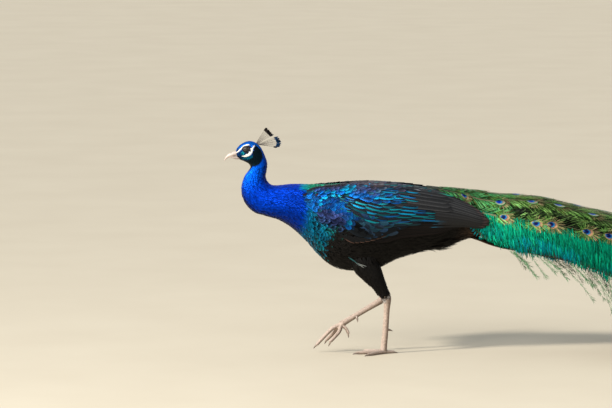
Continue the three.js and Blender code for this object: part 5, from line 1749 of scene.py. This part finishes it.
rng = np.random.default_rng(41)
lots = []
for index, (x, z, teal) in enumerate(crest_tips(rng)):
    y = 0.0095 * math.sin(index * 2.4) * (0.5 + 0.5 * (index / 19)) + rng.normal(0, 0.0012)
    root = CREST_ROOT + [0.010 * index / 19 - 0.005, 0.0022 * math.sin(index * 2.4), -0.0045]
    tip = np.array([x, y, z])
    middle = root * 0.45 + tip * 0.55 + [-0.001, 0, 0.0035 - 0.003 * (index / 19)]
    t = np.linspace(0, 1, 15)[:, None]
    spine = (1 - t) ** 2 * root + 2 * t * (1 - t) * middle + t**2 * tip
    onward = unit(np.gradient(spine, axis=0))
    flat = unit(np.cross(onward, [0, 1, 0.15 * math.sin(index)]))
    across = unit(np.cross(flat, onward))

    # Shaft: a thin square rod that tapers to the racket.
    round_about = np.linspace(0, math.tau, 5)
    thick = 0.00038 - 0.00018 * t
    ring = flat[:, None] * np.cos(round_about)[:, None] + across[:, None] * np.sin(round_about)[:, None]
    rod = (spine[:, None] + thick[..., None] * ring)[None]
    blank = np.zeros(rod.shape[:3])
    lots.append({
        "points": rod, "across": blank, "along": blank + 5 * t[None], "run": blank + t[None],
        "wide": blank, "colour": np.zeros(rod.shape) + (0.085, 0.068, 0.060),
        "spot": np.array([[0.5 + 0.02 * (index % 5), 0.9 + 0.02 * (index // 5)]]),
    })

    # Racket: fine barbs on both sides of the last quarter, the tip ones longest.
    for turn, plane in ((0, across), (1, flat)):
        count = 13
        at = np.linspace(0.83, 1.0, count)
        base = np.stack([np.interp(at, t[:, 0], spine[:, k]) for k in range(3)], -1)
        aim = np.stack([np.interp(at, t[:, 0], onward[:, k]) for k in range(3)], -1)
        wing = np.stack([np.interp(at, t[:, 0], plane[:, k]) for k in range(3)], -1)
        for way in (-1, 1):
            long = 0.0020 + 0.0034 * np.sin(math.pi * np.clip((at - 0.81) / 0.25, 0, 1)) ** 0.8
            long = long * (0.6 if turn else 1.0) * rng.normal(1, 0.08, count)
            lean = np.radians(58 - 40 * (at - 0.83) / 0.17)
            heading = unit(aim * np.cos(lean)[:, None] + way * wing * np.sin(lean)[:, None])
            side_way = unit(np.cross(np.cross(aim, wing), heading))
            run = np.linspace(0, 1, 4)[None, :, None]
            wide = np.linspace(-1, 1, 2)[None, None, :]
            width = 0.00075 * pointed(run) * wide
            reach = run * long[:, None, None] + 0 * wide
            spread = width + 0 * reach
            points = base[:, None, None] + heading[:, None, None] * reach[..., None]
            points = points + side_way[:, None, None] * spread[..., None]
            shape = points.shape[:3]
            tone = CREST_BROWN * (1 - teal) + CREST_TEAL * teal
            colour = tone * (0.6 + 0.8 * rng.random((count, 1, 1, 1))) + np.zeros(points.shape)
            lots.append({
                "points": points, "across": 100 * spread, "along": 100 * reach, "colour": colour,
                "run": np.zeros(shape) + run, "wide": np.zeros(shape) + wide,
                "spot": np.repeat([[0.2 + 0.02 * (index % 5), 0.9 + 0.02 * (index // 5)]], count, 0),
            })
crest_look = feather_look("crest_feather", metal=0.35, rough=0.42, barbs=20, contrast=0.12, slope=0.0)
feather_piece("crest_feathers", lots, crest_look, ["crest"])

# Leg scales: two rows of large scutes down the front of each shank, fine round scales behind them,
# plates across the top of each toe and small pads beneath.
SHANKS = {
    -1: np.array([
        [0.003, -0.015, 0.160, 0.008, 0.007], [0.0075, -0.014, 0.149, 0.0113, 0.009],
        [0.0085, -0.0125, 0.136, 0.0096, 0.0075], [0.0075, -0.0095, 0.113, 0.0076, 0.0058],
        [0.005, -0.0055, 0.070, 0.0076, 0.0056], [0.0015, -0.0015, 0.028, 0.008, 0.0066],
        [0.0, 0.0, 0.011, 0.0086, 0.0086],
    ]),
    1: np.array([
        [0.002, 0.0335, 0.153, 0.007, 0.0065], [0.002, 0.033, 0.143, 0.0094, 0.0082],
        [-0.008, 0.032, 0.135, 0.0088, 0.007], [-0.032, 0.028, 0.121, 0.0076, 0.0058],
        [-0.066, 0.022, 0.1015, 0.0068, 0.0056], [-0.096, 0.017, 0.084, 0.0076, 0.0066],
        [-0.108, 0.015, 0.077, 0.0084, 0.0084],
    ]),
}
TOE_RADIUS = 0.0052
FEET = {
    # the foot's root, then each toe's joints as steps from the one before, in millimetres
    -1: ((4, 0.6, 5), {
        "middle": ((-31, -5, -0.4), (-23, -5, -0.5), (-18, -4, -0.4)),
        "outer": ((-19, -17, -0.4), (-14, -15, -0.5), (-11, -11, -0.4)),
        "inner": ((-22, 10, -0.4), (-17, 8, -0.5), (-12, 5, -0.4)),
        "hind": ((11, 4, -0.9), (9, 3, -0.5)),
    }),
    1: ((-111, 14.5, 75), {
        "middle": ((-23, 0.5, -11), (-21, 0, -21), (-19, 0, -21)),
        "outer": ((-12, 9, -16), (-14, 9, -15.5), (-11, 7, -12)),
        "inner": ((-5, -10, -17), (-12.5, -8, -14), (-10, -4, -11)),
        "hind": ((13, -4, -11), (5, -2, -10)),
    }),
}


def toe_stops(side, toe):
    """A toe's stops as [x, y, z, half depth, half width] in metres."""
    root, toes = FEET[side]
    thick = TOE_RADIUS * (0.82 if toe == "hind" else 1)
    at = np.array(root, float)
    stops = [[*at / 1000, thick * 1.08, thick * 1.1]]
    for index, step in enumerate(toes[toe]):
        at = at + step
        stops.append([*at / 1000, thick * (1 - 0.1 * index), thick * (1 - 0.1 * index) * 0.98])
    return np.array(stops)


def scale_lot(surface, u, v, long, wide, lift, front, rng, rows=3, cols=4, cup=0.04):
    """Horny scales that overlap down a limb, with painted shade that darkens them away from its front."""
    lot = lay_feathers(
        surface, u, v, length=long, width=wide, depth=0.0003, lift=lift, rows=rows, cols=cols, cup=cup,
        outline=lambda run: rounded(run, widest=0.6, root=0.8), turn=rng.normal(0, 0.05, len(u)),
    )
    # Painted shade, darker away from the limb's front.
    behind = ease(np.abs((v - front + math.pi) % math.tau - math.pi), 1.1, 2.4)
    base = blend(LEG_PINK, LEG_REAR_SHADE, 0.8 * behind) * (0.85 + 0.3 * rng.random((len(u), 1)))
    rim = np.maximum(ease(np.abs(lot["wide"]), 0.7, 1), ease(lot["run"], 0.8, 1))[..., None]
    lot["colour"] = base[:, None, None] * (1.05 - 0.25 * rim)
    return lot


scute_look = bpy.data.materials.new("leg_scales")
scute_look.use_nodes = True
nodes, links = scute_look.node_tree.nodes, scute_look.node_tree.links
painted = nodes.new("ShaderNodeAttribute")
painted.attribute_name = "plumage"
place = nodes.new("ShaderNodeNewGeometry")
grime = nodes.new("ShaderNodeTexNoise")
grime.inputs["Scale"].default_value = 480
grime.inputs["Detail"].default_value = 5
gain = nodes.new("ShaderNodeMapRange")
gain.inputs["To Min"].default_value = 0.72
gain.inputs["To Max"].default_value = 1.22
tinted = nodes.new("ShaderNodeMix")
tinted.data_type = "RGBA"
tinted.blend_type = "MULTIPLY"
tinted.inputs["Factor"].default_value = 1
relief = nodes.new("ShaderNodeBump")
relief.inputs["Strength"].default_value = 0.3
relief.inputs["Distance"].default_value = 0.0002
links.new(place.outputs["Position"], grime.inputs["Vector"])
links.new(grime.outputs["Fac"], gain.inputs["Value"])
links.new(painted.outputs["Color"], tinted.inputs["A"])
links.new(gain.outputs["Result"], tinted.inputs["B"])
links.new(tinted.outputs["Result"], nodes["Principled BSDF"].inputs["Base Color"])
links.new(grime.outputs["Fac"], relief.inputs["Height"])
links.new(relief.outputs["Normal"], nodes["Principled BSDF"].inputs["Normal"])
nodes["Principled BSDF"].inputs["Roughness"].default_value = 0.5

rng = np.random.default_rng(51)
for side, word in ((-1, "left"), (1, "right")):
    lots = []
    shank = on_limb(SHANKS[side])
    girth = lambda u: math.tau * float(curve_through(SHANKS[side], np.array(u))[3:].mean())
    u, v = limb_rows(shank, 0.75, 5.9, 0.0030, 0.0032, girth, rng)
    lots.append(scale_lot(shank, u, v, 0.0042, 0.0034, 0.0001, 0.0, rng))
    big_u, big_v = [], []
    for column, angle in enumerate((-0.36, 0.36)):
        here = np.linspace(1.3 + 0.06 * column, 5.8, 26)
        big_u.append(here)
        big_v.append(here * 0 + angle)
    u, v = np.concatenate(big_u), np.concatenate(big_v)
    lots.append(scale_lot(shank, u, v, 0.0066, 0.0058, 0.0003, 0.0, rng, rows=4, cols=6, cup=0.02))
    lots[0]["spot"] = np.zeros((len(lots[0]["points"]), 2)) + (0.1 + 0.1 * (side > 0), 0.5)
    lots[0]["spot"][:, 1] += 0.06 * lots[0]["u"][:, 0, 0]
    lots[1]["spot"] = np.stack([0.12 + 0.1 * (side > 0) + 0.02 * v, 0.5 + 0.06 * u], -1)
    for number, toe in enumerate(TOES):
        stops = toe_stops(side, toe)
        surface = on_limb(stops)
        front = math.pi if toe == "hind" else 0.0
        last = len(stops) - 1.0
        girth = lambda u: math.tau * float(curve_through(stops, np.array(u))[3:].mean())
        u, v = limb_rows(surface, 0.1, last - 0.17, 0.0026, 0.0028, girth, rng)
        fine = scale_lot(surface, u, v, 0.0032, 0.0030, 0.0001, front, rng)
        fine["spot"] = np.stack([0.4 + 0.05 * number + 0.004 * v, 0.1 + 0.3 * (side > 0) + 0.05 * u], -1)
        lots.append(fine)
        reach = np.linalg.norm(np.diff(stops[:, :3], axis=0), axis=1).sum()
        u = np.linspace(0.15, last - 0.20, int(reach / 0.0040))
        v = np.full(len(u), front)
        plate = scale_lot(surface, u, v, 0.0046, 0.0094, 0.0003, front, rng, rows=3, cols=8, cup=0.0)
        plate["spot"] = np.stack([0.42 + 0.05 * number + 0 * u, 0.1 + 0.3 * (side > 0) + 0.05 * u], -1)
        lots.append(plate)
    feather_piece(f"leg_scales_{word}", lots, scute_look)

# The model's size, beside that of its solids.
shown_low, shown_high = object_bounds()
size = {
    "cad": [list(cad_low), list(cad_high)],
    "model": [list(shown_low), list(shown_high)],
}
